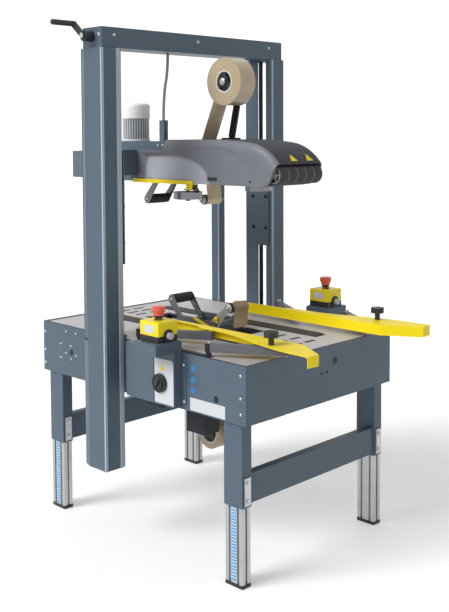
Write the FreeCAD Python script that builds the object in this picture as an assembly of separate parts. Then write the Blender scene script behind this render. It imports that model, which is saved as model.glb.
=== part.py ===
import FreeCAD, Part
import math
import os

# Carton sealer for a small packaging line.
# Millimetres. +X is the side the cartons come in from, +Y is the far side,
# +Z is up, and the floor is z = 0 below the middle of the bed.

V = FreeCAD.Vector
X_AXIS = V(1, 0, 0)
Y_AXIS = V(0, 1, 0)
Z_AXIS = V(0, 0, 1)

# Bed
bed_length = 1050.0
bed_width = 751.0
bed_top_z = 707.0
panel_height = 186.0
panel_sheet = 2.5
top_sheet = 4.0
running_gap = 6.0
seat_gap = 0.3

# Drive belts in the bed
belt_width = 62.0
belt_centre_y = 132.0
belt_reach_x = 405.0
belt_end_radius = 24.0
belt_stands_up = 2.0
belt_sheet = 4.0

# Tape unit well in the bed top
well_half_width = 68.0
well_rear_x = -300.0
well_front_x = 215.0

# Legs
leg_long = 72.0
leg_deep = 37.4
leg_outer_x = bed_length / 2 - 31.0
leg_rear_front_x = 97.5 - bed_length / 2
leg_outer_y = bed_width / 2 - 14.1
leg_sheet = 3.0
outer_leg_bottom_z = bed_top_z - 452.5
inner_leg_top_z = bed_top_z - 187.0
foot_height = 12.0
foot_overhang = 1.0
crossbar_bottom_z = outer_leg_bottom_z + 7.5
crossbar_top_z = crossbar_bottom_z + 95.0
crossbar_recess = 6.0

# Columns and crossbeam
column_front_x = -49.0
column_rear_x = -178.0
column_inner_y = bed_width / 2
column_outer_y = column_inner_y + 83.0
column_sheet = 3.0
column_bottom_z = 260.0
column_top_z = 1699.0
column_slot_rear_x = -112.0
column_slot_front_x = -68.0
column_outer_wall_rear_x = -142.0
column_rear_wall_y = column_outer_y - 12.5
column_rib_centre_y = column_inner_y + 16.5
column_rib_radius = 6.0
column_closed_below_z = bed_top_z - 7.0
screw_x = -132.0
screw_y = column_inner_y + 39.5
screw_radius = 8.0
beam_rear_x = -158.0
beam_front_x = -54.0
beam_top_z = column_top_z + 69.0
beam_end_y = column_outer_y - 6.5
beam_sheet = 3.0

# Crank
crank_x = -110.0
crank_z = column_top_z + 39.0

# Head, in its pictured place
head_half_width = 124.0
cover_sheet = 20.0
head_bottom_z = 1232.0
head_crest_z = head_bottom_z + 156.0
platform_z = head_bottom_z + 118.0
platform_top_z = platform_z + 31.0
head_rear_x = -440.0
cover_rear_x = -268.0
cover_step_x = -121.0
chassis_sheet = 5.0
chassis_half_width = head_half_width - cover_sheet
chassis_opening_rear_x = -365.0
chassis_opening_front_x = 80.0
support_rear_x = -335.0
support_front_x = cover_rear_x
support_bottom_z = head_bottom_z + 24.0
carriage_gap = 5.5
carriage_plate = 6.0
carriage_rear_x = -135.0
carriage_front_x = -51.0
carriage_bottom_z = head_bottom_z - 268.0
nut_low_z = head_bottom_z + 30.0
nut_high_z = head_bottom_z + 90.0
front_roller_x = 400.0
front_roller_z = head_bottom_z + 40.0
front_roller_radius = 33.5
front_roller_half = 108.0
front_roller_axle = 8.0
chassis_front_x = front_roller_x - front_roller_radius - running_gap - 5.0
panel_recess = 2.5
scoop_depth = 11.0
slot_depth = 8.0

# Motor on the head, and the post that takes its cable
motor_x = -366.0
motor_y = -44.0
motor_radius = 44.0
motor_fin_reach = 52.0
motor_cap_radius = 55.0
motor_cap_z = platform_top_z + 86.5
motor_top_z = platform_top_z + 146.0
cable_post_x = -155.0
cable_post_top_z = platform_top_z + 78.0
cable_radius = 5.5

# Tape units: the lower one is the upper one turned over
roller_radius = 18.0
roller_half = 44.0
roller_axle = 5.0
arm_plate = 4.0
upper_apply = (3.0, head_bottom_z - 61.0)
upper_apply_pivot = (-62.0, head_bottom_z + 8.0)
upper_buff = (-296.0, head_bottom_z - 71.0)
upper_buff_pivot = (-235.0, head_bottom_z + 8.0)
lower_apply = (128.0, bed_top_z + 83.0)
lower_apply_pivot = (63.0, bed_top_z + 16.0)
lower_buff = (-163.0, bed_top_z + 83.0)
lower_buff_pivot = (-102.0, bed_top_z + 4.0)
pivot_radius = 6.0
unit_half = 56.0
unit_plate = 3.0
lower_tab_reach_y = 80.0
disc_x = -8.0
disc_y = -108.0
disc_radius = 52.0
disc_low_z = head_bottom_z - 55.0
disc_high_z = head_bottom_z - 29.0

# Tape rolls
upper_roll_x = 104.0
upper_roll_z = head_bottom_z + 360.0
upper_roll_radius = 84.0
lower_roll_x = 20.0
lower_roll_z = bed_top_z - 389.0
lower_roll_radius = 60.0
core_radius = 38.0
tape_half = 37.5

# Side guides and their swing arms
arm_pivot_y = bed_width / 2 - 17.5
arm_reach_x = 212.0
arm_reach_y = 129.0
guide_inner_y = arm_pivot_y - arm_reach_y - 25.0
guide_top_z = bed_top_z + 53.0
guide_height = 35.0
guide_sheet = 2.5
guide_rear_x = -86.0
guide_bend_x = 605.0
guide_end_x = 727.0
guide_end_y = guide_inner_y + 72.0
guide_return_y = guide_inner_y + 118.0
arm_front_pivot_x = 348.0
arm_rear_pivot_x = 14.0
arm_top_z = guide_top_z - 10.0
arm_height = 28.0
arm_width = 22.0
arm_wall = 3.0
arm_pin_radius = 5.0
knob_x = 540.0
knob_y = guide_inner_y + 73.0
knob_radius = 24.0

# Electrical cabinet and emergency stops
cabinet_rear_x = 6.0
cabinet_front_x = 243.0
cabinet_outer_y = bed_width / 2 + 36.5
cabinet_bottom_z = bed_top_z - 177.0
cabinet_top_z = bed_top_z + 5.0
stop_bracket_rear_x = 137.0
stop_bracket_outer_y = bed_width / 2 + 112.5
stop_bracket_inner_y = bed_width / 2 + 10.5
stop_bracket_top_z = bed_top_z + 40.0
stop_bracket_sheet = 2.5
stop_box_long = 90.0
stop_box_deep = 84.0
stop_box_x = (stop_bracket_rear_x + cabinet_front_x) / 2
stop_box_y = bed_width / 2 + 52.5
stop_base_height = 21.0
stop_box_height = 66.0
stop_boss_radius = 20.0
button_radius = 22.0
button_top_z = stop_bracket_top_z + 110.0
button_bottom_z = stop_bracket_top_z + 76.0
button_stem_radius = 12.0
switch_x = 178.0
switch_z = bed_top_z - 105.0
switch_radius = 31.0

# Belt drive under the bed
drive_y = -118.0
drive_z = bed_top_z - 233.0
drive_radius = 58.0


def box(x0, x1, y0, y1, z0, z1):
    return Part.makeBox(x1 - x0, y1 - y0, z1 - z0, V(x0, y0, z0))


def rod(radius, start, end):
    direction = end - start
    return Part.makeCylinder(radius, direction.Length, start, direction)


def extrude_y(points, y0, y1):
    corners = [V(x, y0, z) for x, z in points]
    face = Part.Face(Part.makePolygon(corners + [corners[0]]))
    return face.extrude(V(0, y1 - y0, 0))


def extrude_z(points, z0, z1):
    corners = [V(x, y, z0) for x, y in points]
    face = Part.Face(Part.makePolygon(corners + [corners[0]]))
    return face.extrude(V(0, 0, z1 - z0))


def slot_plate_y(a, b, radius, y0, y1):
    # A flat link with round ends, in the plane of X and Z.
    start = V(a[0], y0, a[1])
    end = V(b[0], y0, b[1])
    along = end - start
    along.normalize()
    side = V(-along.z, 0, along.x) * radius
    corners = [start + side, end + side, end - side, start - side]
    bar = Part.Face(Part.makePolygon(corners + [corners[0]])).extrude(V(0, y1 - y0, 0))
    first = Part.makeCylinder(radius, y1 - y0, start, Y_AXIS)
    second = Part.makeCylinder(radius, y1 - y0, end, Y_AXIS)
    return join([bar, first, second])


def slot_plate_z(a, b, radius, z0, z1):
    # A flat link with round ends, lying level.
    start = V(a[0], a[1], z0)
    end = V(b[0], b[1], z0)
    along = end - start
    along.normalize()
    side = V(-along.y, along.x, 0) * radius
    corners = [start + side, end + side, end - side, start - side]
    bar = Part.Face(Part.makePolygon(corners + [corners[0]])).extrude(V(0, 0, z1 - z0))
    first = Part.makeCylinder(radius, z1 - z0, start, Z_AXIS)
    second = Part.makeCylinder(radius, z1 - z0, end, Z_AXIS)
    return join([bar, first, second])


def join(shapes):
    result = shapes[0]
    if len(shapes) > 1:
        result = result.fuse(shapes[1:])
    return result.removeSplitter()


def mirrored(shape):
    return shape.mirror(V(0, 0, 0), Y_AXIS)


def end_panel(sign):
    # A folded sheet across the end of the bed, with a short lip on top.
    outer = sign * bed_length / 2
    inner = outer - sign * panel_sheet
    x0, x1 = min(outer, inner), max(outer, inner)
    half = bed_width / 2 - panel_sheet - 0.2
    bottom = bed_top_z - panel_height
    sheet = box(x0, x1, -half, half, bottom, bed_top_z - top_sheet)
    fold_in = outer - sign * 18.0
    fold = box(min(outer, fold_in), max(outer, fold_in), -half, half, bottom, bottom + panel_sheet)
    panel = join([sheet, fold])
    if sign > 0:
        hole = Part.makeCylinder(10.0, 20.0, V(outer - 10, 59.0, bed_top_z - 56.0), X_AXIS)
        panel = panel.cut(hole)
    return panel


def side_panel(sign):
    # A folded sheet along the side of the bed.
    outer = sign * bed_width / 2
    inner = outer - sign * panel_sheet
    half = bed_length / 2
    bottom = bed_top_z - panel_height
    sheet = box(-half, half, min(outer, inner), max(outer, inner), bottom, bed_top_z - top_sheet)
    fold_in = sign * (leg_outer_y + leg_sheet + seat_gap)
    fold_z = bottom + 3
    fold = box(-half + 3, half - 3, min(inner, fold_in), max(inner, fold_in), fold_z, fold_z + panel_sheet)
    panel = join([sheet, fold])
    holes = []
    for x, z in ((173.0 - half, bed_top_z - 96.0), (half - 128.0, bed_top_z - 125.0)):
        start = V(x, min(outer, inner) - 5, z)
        holes.append(Part.makeCylinder(10.5, panel_sheet + 10, start, Y_AXIS))
    return panel.cut(holes)


def bed_top():
    # The top plate with two belt slots, the tape unit well and small roller slots.
    # Four tabs below it hold the cheeks of the lower tape unit.
    half_x = bed_length / 2
    half_y = bed_width / 2
    plate = box(-half_x, half_x, -half_y, half_y, bed_top_z - top_sheet, bed_top_z)
    cuts = []
    low = bed_top_z - top_sheet - 1
    high = bed_top_z + 1
    reach = belt_reach_x + running_gap
    slot = belt_width / 2 + running_gap / 2
    for side in (-1, 1):
        y = side * belt_centre_y
        cuts.append(box(-reach, reach, y - slot, y + slot, low, high))
    cuts.append(box(well_rear_x, well_front_x, -well_half_width, well_half_width, low, high))
    for step in range(3):
        x = 306.0 + 65.0 * step
        cuts.append(box(x - 6, x + 6, 10.0, 60.0, low, high))
        cuts.append(box(x - 6, x + 6, -60.0, -10.0, low, high))
        x = -355.0 - 50.0 * step
        cuts.append(box(x - 6, x + 6, 10.0, 60.0, low, high))
        cuts.append(box(x - 6, x + 6, -60.0, -10.0, low, high))
    under = bed_top_z - top_sheet
    tabs = []
    for x in (lower_buff_pivot[0], lower_apply_pivot[0]):
        tabs.append(box(x - 15, x + 15, unit_half + seat_gap, lower_tab_reach_y, under - 4, under))
        tabs.append(box(x - 15, x + 15, -lower_tab_reach_y, -unit_half - seat_gap, under - 4, under))
    return join([plate.cut(cuts)] + tabs)


def belt(side):
    # One closed belt loop.
    y0 = side * belt_centre_y - belt_width / 2
    y1 = y0 + belt_width
    z = bed_top_z + belt_stands_up - belt_end_radius
    centre_x = belt_reach_x - belt_end_radius
    outer = slot_plate_y((-centre_x, z), (centre_x, z), belt_end_radius, y0, y1)
    inner = slot_plate_y((-centre_x, z), (centre_x, z), belt_end_radius - belt_sheet, y0 - 1, y1 + 1)
    return outer.cut(inner)


def belt_bed():
    # Inside each belt: two pulleys, a slide bar and a web, on cross rails between the side panels.
    z = bed_top_z + belt_stands_up - belt_end_radius
    inner_top = bed_top_z + belt_stands_up - belt_sheet
    centre_x = belt_reach_x - belt_end_radius
    radius = belt_end_radius - belt_sheet - seat_gap
    half_width = belt_width / 2 - 3
    half_panel = bed_width / 2 - panel_sheet
    pieces = []
    for side in (-1, 1):
        y = side * belt_centre_y
        for x in (-centre_x, centre_x):
            pieces.append(rod(radius, V(x, y - half_width, z), V(x, y + half_width, z)))
        pieces.append(box(-centre_x, centre_x, y - half_width, y + half_width, inner_top - 8, inner_top))
        pieces.append(box(-centre_x, centre_x, y - 4, y + 4, z - 10, inner_top - 7))
    for x in (-250.0, 250.0):
        pieces.append(box(x - 20, x + 20, -half_panel, half_panel, z - 15, z + 5))
    return join(pieces)


def leg_frame(sign):
    # Two outer legs joined by one cross rail.
    if sign > 0:
        front_x = leg_outer_x
    else:
        front_x = leg_rear_front_x
    rear_x = front_x - leg_long
    top = bed_top_z - top_sheet - 1
    pieces = []
    for side in (-1, 1):
        outer = leg_outer_y
        inner = leg_outer_y - leg_deep
        y0 = side * (outer + leg_sheet)
        y1 = side * (inner - leg_sheet)
        tube = box(rear_x - leg_sheet, front_x + leg_sheet, min(y0, y1), max(y0, y1), outer_leg_bottom_z, top)
        a = side * outer
        b = side * inner
        bore = box(rear_x, front_x, min(a, b), max(a, b), outer_leg_bottom_z - 1, inner_leg_top_z + 20)
        tube = tube.cut(bore)
        pad_out = side * (bed_width / 2 - panel_sheet)
        pad_top = bed_top_z - 17.0
        pad = box(rear_x + 12, front_x - 12, min(y0, pad_out), max(y0, pad_out), pad_top - 145.0, pad_top)
        pieces.append(tube)
        pieces.append(pad)
    rail_half = leg_outer_y - leg_deep - leg_sheet + 1
    rail_front = front_x + leg_sheet - crossbar_recess
    web = box(rail_front - leg_sheet, rail_front, -rail_half, rail_half, crossbar_bottom_z, crossbar_top_z)
    pieces.append(web)
    for z in (crossbar_bottom_z, crossbar_top_z - leg_sheet):
        pieces.append(box(rail_front - 30, rail_front, -rail_half, rail_half, z, z + leg_sheet))
    return join(pieces)


def inner_leg(sign, side):
    # An aluminium profile with grooves on all four faces, on a black foot.
    if sign > 0:
        front_x = leg_outer_x
    else:
        front_x = leg_rear_front_x
    rear_x = front_x - leg_long
    a = side * leg_outer_y
    b = side * (leg_outer_y - leg_deep)
    y0, y1 = min(a, b), max(a, b)
    bar = box(rear_x, front_x, y0, y1, foot_height, inner_leg_top_z)
    cuts = []
    middle_y = (y0 + y1) / 2
    low = foot_height - 1
    high = inner_leg_top_z + 1
    for x in (rear_x + leg_long * 0.25, rear_x + leg_long * 0.75):
        cuts.append(box(x - 4, x + 4, y0 - 1, y0 + 8, low, high))
        cuts.append(box(x - 4, x + 4, y1 - 8, y1 + 1, low, high))
    cuts.append(box(rear_x - 1, rear_x + 8, middle_y - 4, middle_y + 4, low, high))
    cuts.append(box(front_x - 8, front_x + 1, middle_y - 4, middle_y + 4, low, high))
    bar = bar.cut(cuts)
    over = foot_overhang
    foot = box(rear_x - over, front_x + over, y0 - over, y1 + over, 0, foot_height)
    return join([bar, foot])


def column():
    # The far column: two folded sections, joined at the top and below the bed.
    t = column_sheet
    y_in = column_inner_y
    y_out = column_outer_y
    z0 = column_bottom_z
    z1 = column_top_z
    pieces = []
    pieces.append(box(column_outer_wall_rear_x, column_front_x, y_out - t, y_out, z0, z1))
    pieces.append(box(column_front_x - t, column_front_x, y_in, y_out, z0, z1))
    pieces.append(box(column_slot_front_x, column_front_x, y_in, y_in + t, z0, z1))
    rib_foot = V(column_front_x - t, column_rib_centre_y, z0)
    pieces.append(Part.makeCylinder(column_rib_radius, z1 - z0, rib_foot, Z_AXIS))
    pieces.append(box(column_rear_x, column_rear_x + t, y_in, column_rear_wall_y, z0, z1))
    pieces.append(box(column_rear_x, column_slot_rear_x, y_in, y_in + t, z0, z1))
    corner = [
        (column_rear_x, column_rear_wall_y - t),
        (column_rear_x, column_rear_wall_y),
        (column_outer_wall_rear_x, y_out),
        (column_outer_wall_rear_x + t, y_out),
        (column_outer_wall_rear_x + t, y_out - t),
        (column_rear_x + t, column_rear_wall_y - t),
    ]
    pieces.append(extrude_z(corner, z0, column_closed_below_z))
    slot_rear = column_slot_rear_x - 1
    slot_front = column_slot_front_x + 1
    pieces.append(box(slot_rear, slot_front, y_in, y_in + t, z0, column_closed_below_z))
    outline = [
        (column_rear_x, y_in),
        (column_front_x, y_in),
        (column_front_x, y_out),
        (column_outer_wall_rear_x, y_out),
        (column_rear_x, column_rear_wall_y),
    ]
    pieces.append(extrude_z(outline, z1 - 6, z1))
    pieces.append(extrude_z(outline, z0, z0 + t))
    pieces.append(rod(screw_radius, V(screw_x, screw_y, z0 + 1), V(screw_x, screw_y, z1 - 1)))
    return join(pieces)


def crossbeam():
    # A folded channel, open below, resting on both columns.
    t = beam_sheet
    outer = box(beam_rear_x, beam_front_x, -beam_end_y, beam_end_y, column_top_z, beam_top_z)
    inner = box(
        beam_rear_x + t,
        beam_front_x - t,
        -beam_end_y + t,
        beam_end_y - t,
        column_top_z + t,
        beam_top_z - t,
    )
    shaft = rod(6.0, V(crank_x, -beam_end_y + 1, crank_z), V(crank_x, -beam_end_y - 26, crank_z))
    return join([outer.cut(inner), shaft])


def crank():
    # A hub on the near end of the crossbeam, a cranked arm and a round grip.
    y0 = -beam_end_y - seat_gap
    hub = rod(18.5, V(crank_x, y0, crank_z), V(crank_x, y0 - 34, crank_z))
    bore = rod(6.05, V(crank_x, y0 + 1, crank_z), V(crank_x, y0 - 26.5, crank_z))
    arm_end = (crank_x - 50, crank_z + 43)
    arm = slot_plate_y((crank_x, crank_z), arm_end, 9.0, y0 - 42, y0 - 30)
    grip = rod(9.5, V(arm_end[0], y0 - 31, arm_end[1]), V(arm_end[0], y0 - 122, arm_end[1]))
    tip = V(arm_end[0], y0 - 122, arm_end[1])
    cone = Part.makeCone(9.5, 6.0, 4.5, tip, V(0, -1, 0))
    return join([hub, arm, grip, cone]).cut(bore)


def head_frame():
    # The chassis of the head, its cross support and the two carriages in the columns.
    t = chassis_sheet
    half = chassis_half_width
    base = box(head_rear_x, chassis_front_x, -half, half, head_bottom_z, head_bottom_z + t)
    opening = box(
        chassis_opening_rear_x,
        chassis_opening_front_x,
        -unit_half - 7,
        unit_half + 7,
        head_bottom_z - 1,
        head_bottom_z + t + 1,
    )
    base = base.cut(opening)
    pieces = [base]
    wall_front_x = chassis_front_x - 25.0
    for side in (-1, 1):
        a = side * half
        b = side * (half - t)
        y0, y1 = min(a, b), max(a, b)
        pieces.append(box(head_rear_x, cover_step_x, y0, y1, head_bottom_z, platform_z))
        pieces.append(box(cover_step_x, wall_front_x, y0, y1, head_bottom_z, platform_z - 20))
        pieces.append(box(wall_front_x, chassis_front_x, y0, y1, head_bottom_z, platform_z - 60))
    rear = box(head_rear_x, head_rear_x + t, -half, half, head_bottom_z, platform_z)
    pieces.append(rear)
    pieces.append(box(head_rear_x, cover_step_x - 9, -half, half, platform_z, platform_top_z))
    post_y = -half + 4
    pieces.append(
        box(cable_post_x - 13, cable_post_x + 13, post_y, post_y + 20, platform_top_z - 1, cable_post_top_z)
    )
    inner = column_inner_y - carriage_gap
    pieces.append(box(support_rear_x, support_front_x, -inner, -half + 1, support_bottom_z, platform_z))
    pieces.append(box(support_rear_x, support_front_x, half - 1, inner, support_bottom_z, platform_z))
    for side in (-1, 1):
        a = side * inner
        b = side * (inner - carriage_plate)
        y0, y1 = min(a, b), max(a, b)
        pieces.append(box(support_rear_x, carriage_front_x, y0, y1, support_bottom_z, platform_z - 6))
        pieces.append(box(carriage_rear_x, carriage_front_x, y0, y1, carriage_bottom_z, platform_z - 6))
        c = side * (screw_y - 15)
        d = side * (screw_y + 15)
        neck_out = side * (screw_y - 13)
        neck = box(-105.0, -75.0, min(a, neck_out), max(a, neck_out), nut_low_z, nut_high_z)
        nut = box(screw_x - 18, -75.0, min(c, d), max(c, d), nut_low_z, nut_high_z)
        bore_start = V(screw_x, side * screw_y, nut_low_z - 2)
        bore = rod(screw_radius + 3, bore_start, V(screw_x, side * screw_y, nut_high_z + 2))
        pieces.append(neck.fuse(nut).cut(bore))
    pad_end = V(275.0, -45.0, head_bottom_z + 1)
    pieces.append(rod(45.0, V(275.0, -45.0, head_bottom_z - 18), pad_end))
    pieces.append(disc_bracket())
    return join(pieces)


def front_roller():
    # Five rubber bands on one drum that turns on a fixed axle between the side covers.
    x = front_roller_x
    z = front_roller_z
    half = front_roller_half
    drum = rod(front_roller_radius, V(x, -half, z), V(x, half, z))
    cuts = []
    band = 2 * half / 5
    for groove in range(1, 5):
        y = -half + band * groove
        ring = rod(front_roller_radius + 1, V(x, y - 1.5, z), V(x, y + 1.5, z))
        core = rod(front_roller_radius - 2, V(x, y - 2, z), V(x, y + 2, z))
        cuts.append(ring.cut(core))
    cuts.append(rod(front_roller_axle + 0.05, V(x, -half - 1, z), V(x, half + 1, z)))
    return drum.cut(cuts)


def front_roller_pin():
    # The fixed axle, held between the bottoms of the pockets in the two side covers.
    reach = front_roller_half + running_gap - seat_gap
    near = V(front_roller_x, -reach, front_roller_z)
    return rod(front_roller_axle, near, V(front_roller_x, reach, front_roller_z))


def cover_outline():
    # The side view of the head cover, as a closed wire in the plane y = 0.
    low = head_bottom_z
    crest = head_crest_z
    a = V(cover_rear_x, 0, low)
    b = V(cover_rear_x, 0, platform_z)
    c = V(cover_step_x, 0, platform_z)
    d = V(cover_step_x, 0, crest)
    e = V(140.0, 0, crest)
    f = V(300.0, 0, crest - 10)
    g = V(424.0, 0, crest - 78)
    h = V(423.0, 0, low + 51)
    k = V(359.0, 0, low + 1)
    edges = [
        Part.makeLine(a, b),
        Part.makeLine(b, c),
        Part.makeLine(c, d),
        Part.makeLine(d, e),
        Part.Arc(e, V(220.0, 0, crest - 2.5), f).toShape(),
        Part.Arc(f, V(367.0, 0, crest - 31.3), g).toShape(),
        Part.makeLine(g, h),
        Part.Arc(h, V(405.0, 0, low + 18.5), k).toShape(),
        Part.makeLine(k, V(330.0, 0, low)),
        Part.makeLine(V(330.0, 0, low), a),
    ]
    return Part.Wire(edges)


def side_cover():
    # The far moulded side cover: a rounded shoulder, a sunk panel with a scoop that runs out
    # downwards, a slot at its foot, and a pocket for the end of the front roller.
    low = head_bottom_z
    inner = head_half_width - cover_sheet
    outer = head_half_width
    face = Part.Face(cover_outline())
    face.translate(V(0, inner, 0))
    body = face.extrude(V(0, cover_sheet, 0))
    shoulder = []
    for edge in body.Edges:
        span = edge.BoundBox
        on_outside = span.YMin > outer - 0.01
        on_crest = span.ZMin > head_crest_z - 79 and span.XMin > cover_step_x - 1
        if on_outside and on_crest and span.XLength > 20:
            shoulder.append(edge)
    body = body.makeFillet(10.0, shoulder)
    crease = [
        (cover_rear_x - 1, low - 1),
        (cover_rear_x - 1, low + 112),
        (-127.0, low + 112),
        (-26.0, low + 132),
        (72.0, low + 136),
        (165.0, low + 134),
        (226.0, low + 126),
        (273.0, low + 97),
        (302.0, low + 72),
        (316.0, low + 39),
        (316.0, low - 1),
    ]
    sunk = outer - panel_recess
    recess = extrude_y(crease, sunk, outer + 1)
    rim = [
        (-233.0, low + 12),
        (-232.0, low + 87),
        (-197.0, low + 101),
        (-106.0, low + 107),
        (-26.0, low + 100),
        (46.0, low + 84),
        (84.0, low + 62),
        (103.0, low + 41),
        (112.0, low + 12),
    ]
    wedge_corners = [
        V(-300.0, sunk, low + 12),
        V(-300.0, sunk - scoop_depth, low + 107),
        V(-300.0, outer + 1, low + 107),
        V(-300.0, outer + 1, low + 12),
    ]
    wedge = Part.Face(Part.makePolygon(wedge_corners + [wedge_corners[0]])).extrude(V(500.0, 0, 0))
    scoop = extrude_y(rim, inner, outer + 1).common(wedge)
    slot = box(43.0, 156.0, sunk - slot_depth, outer + 1, low + 14, low + 26)
    reach = front_roller_half + running_gap
    pocket_start = V(front_roller_x, inner - 1, front_roller_z)
    pocket = rod(front_roller_radius + running_gap, pocket_start, V(front_roller_x, reach, front_roller_z))
    return body.cut([recess, scoop, slot, pocket])


def top_cover():
    # The moulded top cover between the two side covers, a shell open below.
    half = head_half_width - cover_sheet
    shell = 5.0
    face = Part.Face(cover_outline())
    face.translate(V(0, -half, 0))
    body = face.extrude(V(0, 2 * half, 0))
    inside = Part.Face(cover_outline())
    inside.translate(V(0, -half - 1, -shell))
    hollow = inside.extrude(V(0, 2 * half + 2, 0))
    hollow = hollow.common(box(cover_step_x + shell, 500, -200, 200, head_bottom_z - 10, head_crest_z))
    behind = box(-500, cover_step_x, -200, 200, head_bottom_z - 1, head_crest_z + 1)
    below = box(cover_step_x - 1, 500, -200, 200, head_bottom_z - 1, head_bottom_z + 69)
    low_rear = box(cover_step_x - 1, cover_step_x + shell + 1, -200, 200, head_bottom_z - 1, platform_z)
    relief_start = V(front_roller_x, -200, front_roller_z)
    relief = rod(front_roller_radius + running_gap, relief_start, V(front_roller_x, 200, front_roller_z))
    return body.cut([hollow, behind, below, low_rear, relief])


def head_motor():
    # A finned motor standing on the platform, with its rounded fan cap on top.
    x = motor_x
    y = motor_y
    z = platform_top_z
    core = rod(motor_radius, V(x, y, z), V(x, y, motor_cap_z + 5))
    fins = []
    for turn in range(24):
        fin = box(x + motor_radius - 4, x + motor_fin_reach, y - 1.5, y + 1.5, z + 8, motor_cap_z + 1)
        fin.rotate(V(x, y, 0), Z_AXIS, 15.0 * turn)
        fins.append(fin)
    foot = rod(motor_cap_radius - 1, V(x, y, z), V(x, y, z + 8.5))
    outline = [
        V(x, y, motor_cap_z),
        V(x + motor_cap_radius, y, motor_cap_z),
        V(x + motor_cap_radius, y, motor_top_z - 14),
        V(x + motor_cap_radius - 4, y, motor_top_z - 5),
        V(x + motor_cap_radius - 13, y, motor_top_z),
        V(x, y, motor_top_z),
    ]
    half_section = Part.Face(Part.makePolygon(outline + [outline[0]]))
    cap = half_section.revolve(V(x, y, 0), Z_AXIS, 360)
    return join([core, foot, cap] + fins)


def unit_cheeks(pivot_a, pivot_b, top, bottom, link_z):
    # Two side plates with cross spacers and the two pivot pins.
    pieces = []
    x0 = min(pivot_a[0], pivot_b[0]) - 14
    x1 = max(pivot_a[0], pivot_b[0]) + 14
    for side in (-1, 1):
        a = side * unit_half
        b = side * (unit_half - unit_plate)
        pieces.append(box(x0, x1, min(a, b), max(a, b), bottom, top))
    for x in (x0 + 40, (x0 + x1) / 2, x1 - 40):
        pieces.append(rod(6.0, V(x, -unit_half, link_z), V(x, unit_half, link_z)))
    for pivot in (pivot_a, pivot_b):
        pieces.append(rod(pivot_radius, V(pivot[0], -unit_half, pivot[1]), V(pivot[0], unit_half, pivot[1])))
    return pieces


def upper_unit_frame():
    # The upper tape unit hangs from the chassis walls by four tabs.
    top = platform_z - 25.0
    pieces = unit_cheeks(upper_apply_pivot, upper_buff_pivot, top, head_bottom_z - 8, top - 20)
    for x in (-220.0, -90.0):
        for side in (-1, 1):
            a = side * (unit_half - unit_plate)
            b = side * (chassis_half_width - chassis_sheet)
            pieces.append(box(x - 15, x + 15, min(a, b), max(a, b), top - 4, top))
    return join(pieces)


def lower_unit_frame():
    # The lower tape unit stands in the well; a stem below it carries the tape roll.
    bottom = bed_top_z - 107.0
    pieces = unit_cheeks(lower_apply_pivot, lower_buff_pivot, bed_top_z + 28, bottom, bottom + 20)
    x = lower_roll_x
    z = lower_roll_z
    stem_y = tape_half + 12
    pieces.append(box(x - 12, x + 12, stem_y, unit_half, z - 14, bottom + 2))
    pieces.append(rod(8.0, V(x, -tape_half - 4, z), V(x, stem_y + 1, z)))
    return join(pieces)


def swing_arm(pivot, roller):
    # Two side links with a cross tube on the pivot and a pin for the roller.
    pieces = []
    y0 = roller_half + 1
    y1 = y0 + arm_plate
    for side in (-1, 1):
        a = side * y0
        b = side * y1
        pieces.append(slot_plate_y(pivot, roller, 10.0, min(a, b), max(a, b)))
    pieces.append(rod(10.0, V(pivot[0], -y1, pivot[1]), V(pivot[0], y1, pivot[1])))
    bore = rod(pivot_radius + 0.05, V(pivot[0], -y1 - 1, pivot[1]), V(pivot[0], y1 + 1, pivot[1]))
    arm = join(pieces).cut(bore)
    pin = rod(roller_axle, V(roller[0], -y1, roller[1]), V(roller[0], y1, roller[1]))
    return join([arm, pin])


def tape_roller(centre, radius):
    # A rubber roller with a running bore.
    x = centre[0]
    z = centre[1]
    body = rod(radius, V(x, -roller_half, z), V(x, roller_half, z))
    bore = rod(roller_axle + 0.05, V(x, -roller_half - 1, z), V(x, roller_half + 1, z))
    return body.cut(bore)


def tape_roll(x, z, radius):
    # A wound roll of tape on a cardboard core with a running hub.
    roll = rod(radius, V(x, -tape_half, z), V(x, tape_half, z))
    recess = 6.0
    cuts = [rod(8.05, V(x, -tape_half - 1, z), V(x, tape_half + 1, z))]
    for side in (-1, 1):
        a = V(x, side * (tape_half + 1), z)
        b = V(x, side * (tape_half - recess), z)
        cuts.append(rod(core_radius - 3, a, b).cut(rod(18.0, a, b)))
    return roll.cut(cuts)


def roll_arm():
    # The dark arm that carries the upper roll, behind the tape.
    y0 = tape_half + 8
    y1 = y0 + 8
    foot = (60.0, head_crest_z + 14)
    arm = slot_plate_y(foot, (upper_roll_x, upper_roll_z), 14.0, y0, y1)
    base = box(30.0, 90.0, y0 - 20, y1 + 10, head_crest_z, head_crest_z + 6)
    shaft = rod(8.0, V(upper_roll_x, -tape_half - 5, upper_roll_z), V(upper_roll_x, y0 + 1, upper_roll_z))
    return join([arm, base, shaft])


def tape_strip():
    # The free run of tape from the roll down into the head.
    top_x = upper_roll_x - 52
    top_z = upper_roll_z - upper_roll_radius * 0.80
    foot_x = -8.0
    foot_z = head_crest_z + seat_gap
    points = [(top_x - 1, top_z), (top_x + 1, top_z), (foot_x + 1, foot_z), (foot_x - 1, foot_z)]
    return extrude_y(points, -tape_half + 1, tape_half - 1)


def yellow_guard():
    # The yellow strip under the near edge of the head, with one tab.
    strip = box(-292.0, 37.0, -122.0, -102.0, head_bottom_z - 3, head_bottom_z)
    tab = box(-3.0, 27.0, -122.0, -119.0, head_bottom_z - 23, head_bottom_z)
    return join([strip, tab])


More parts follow.
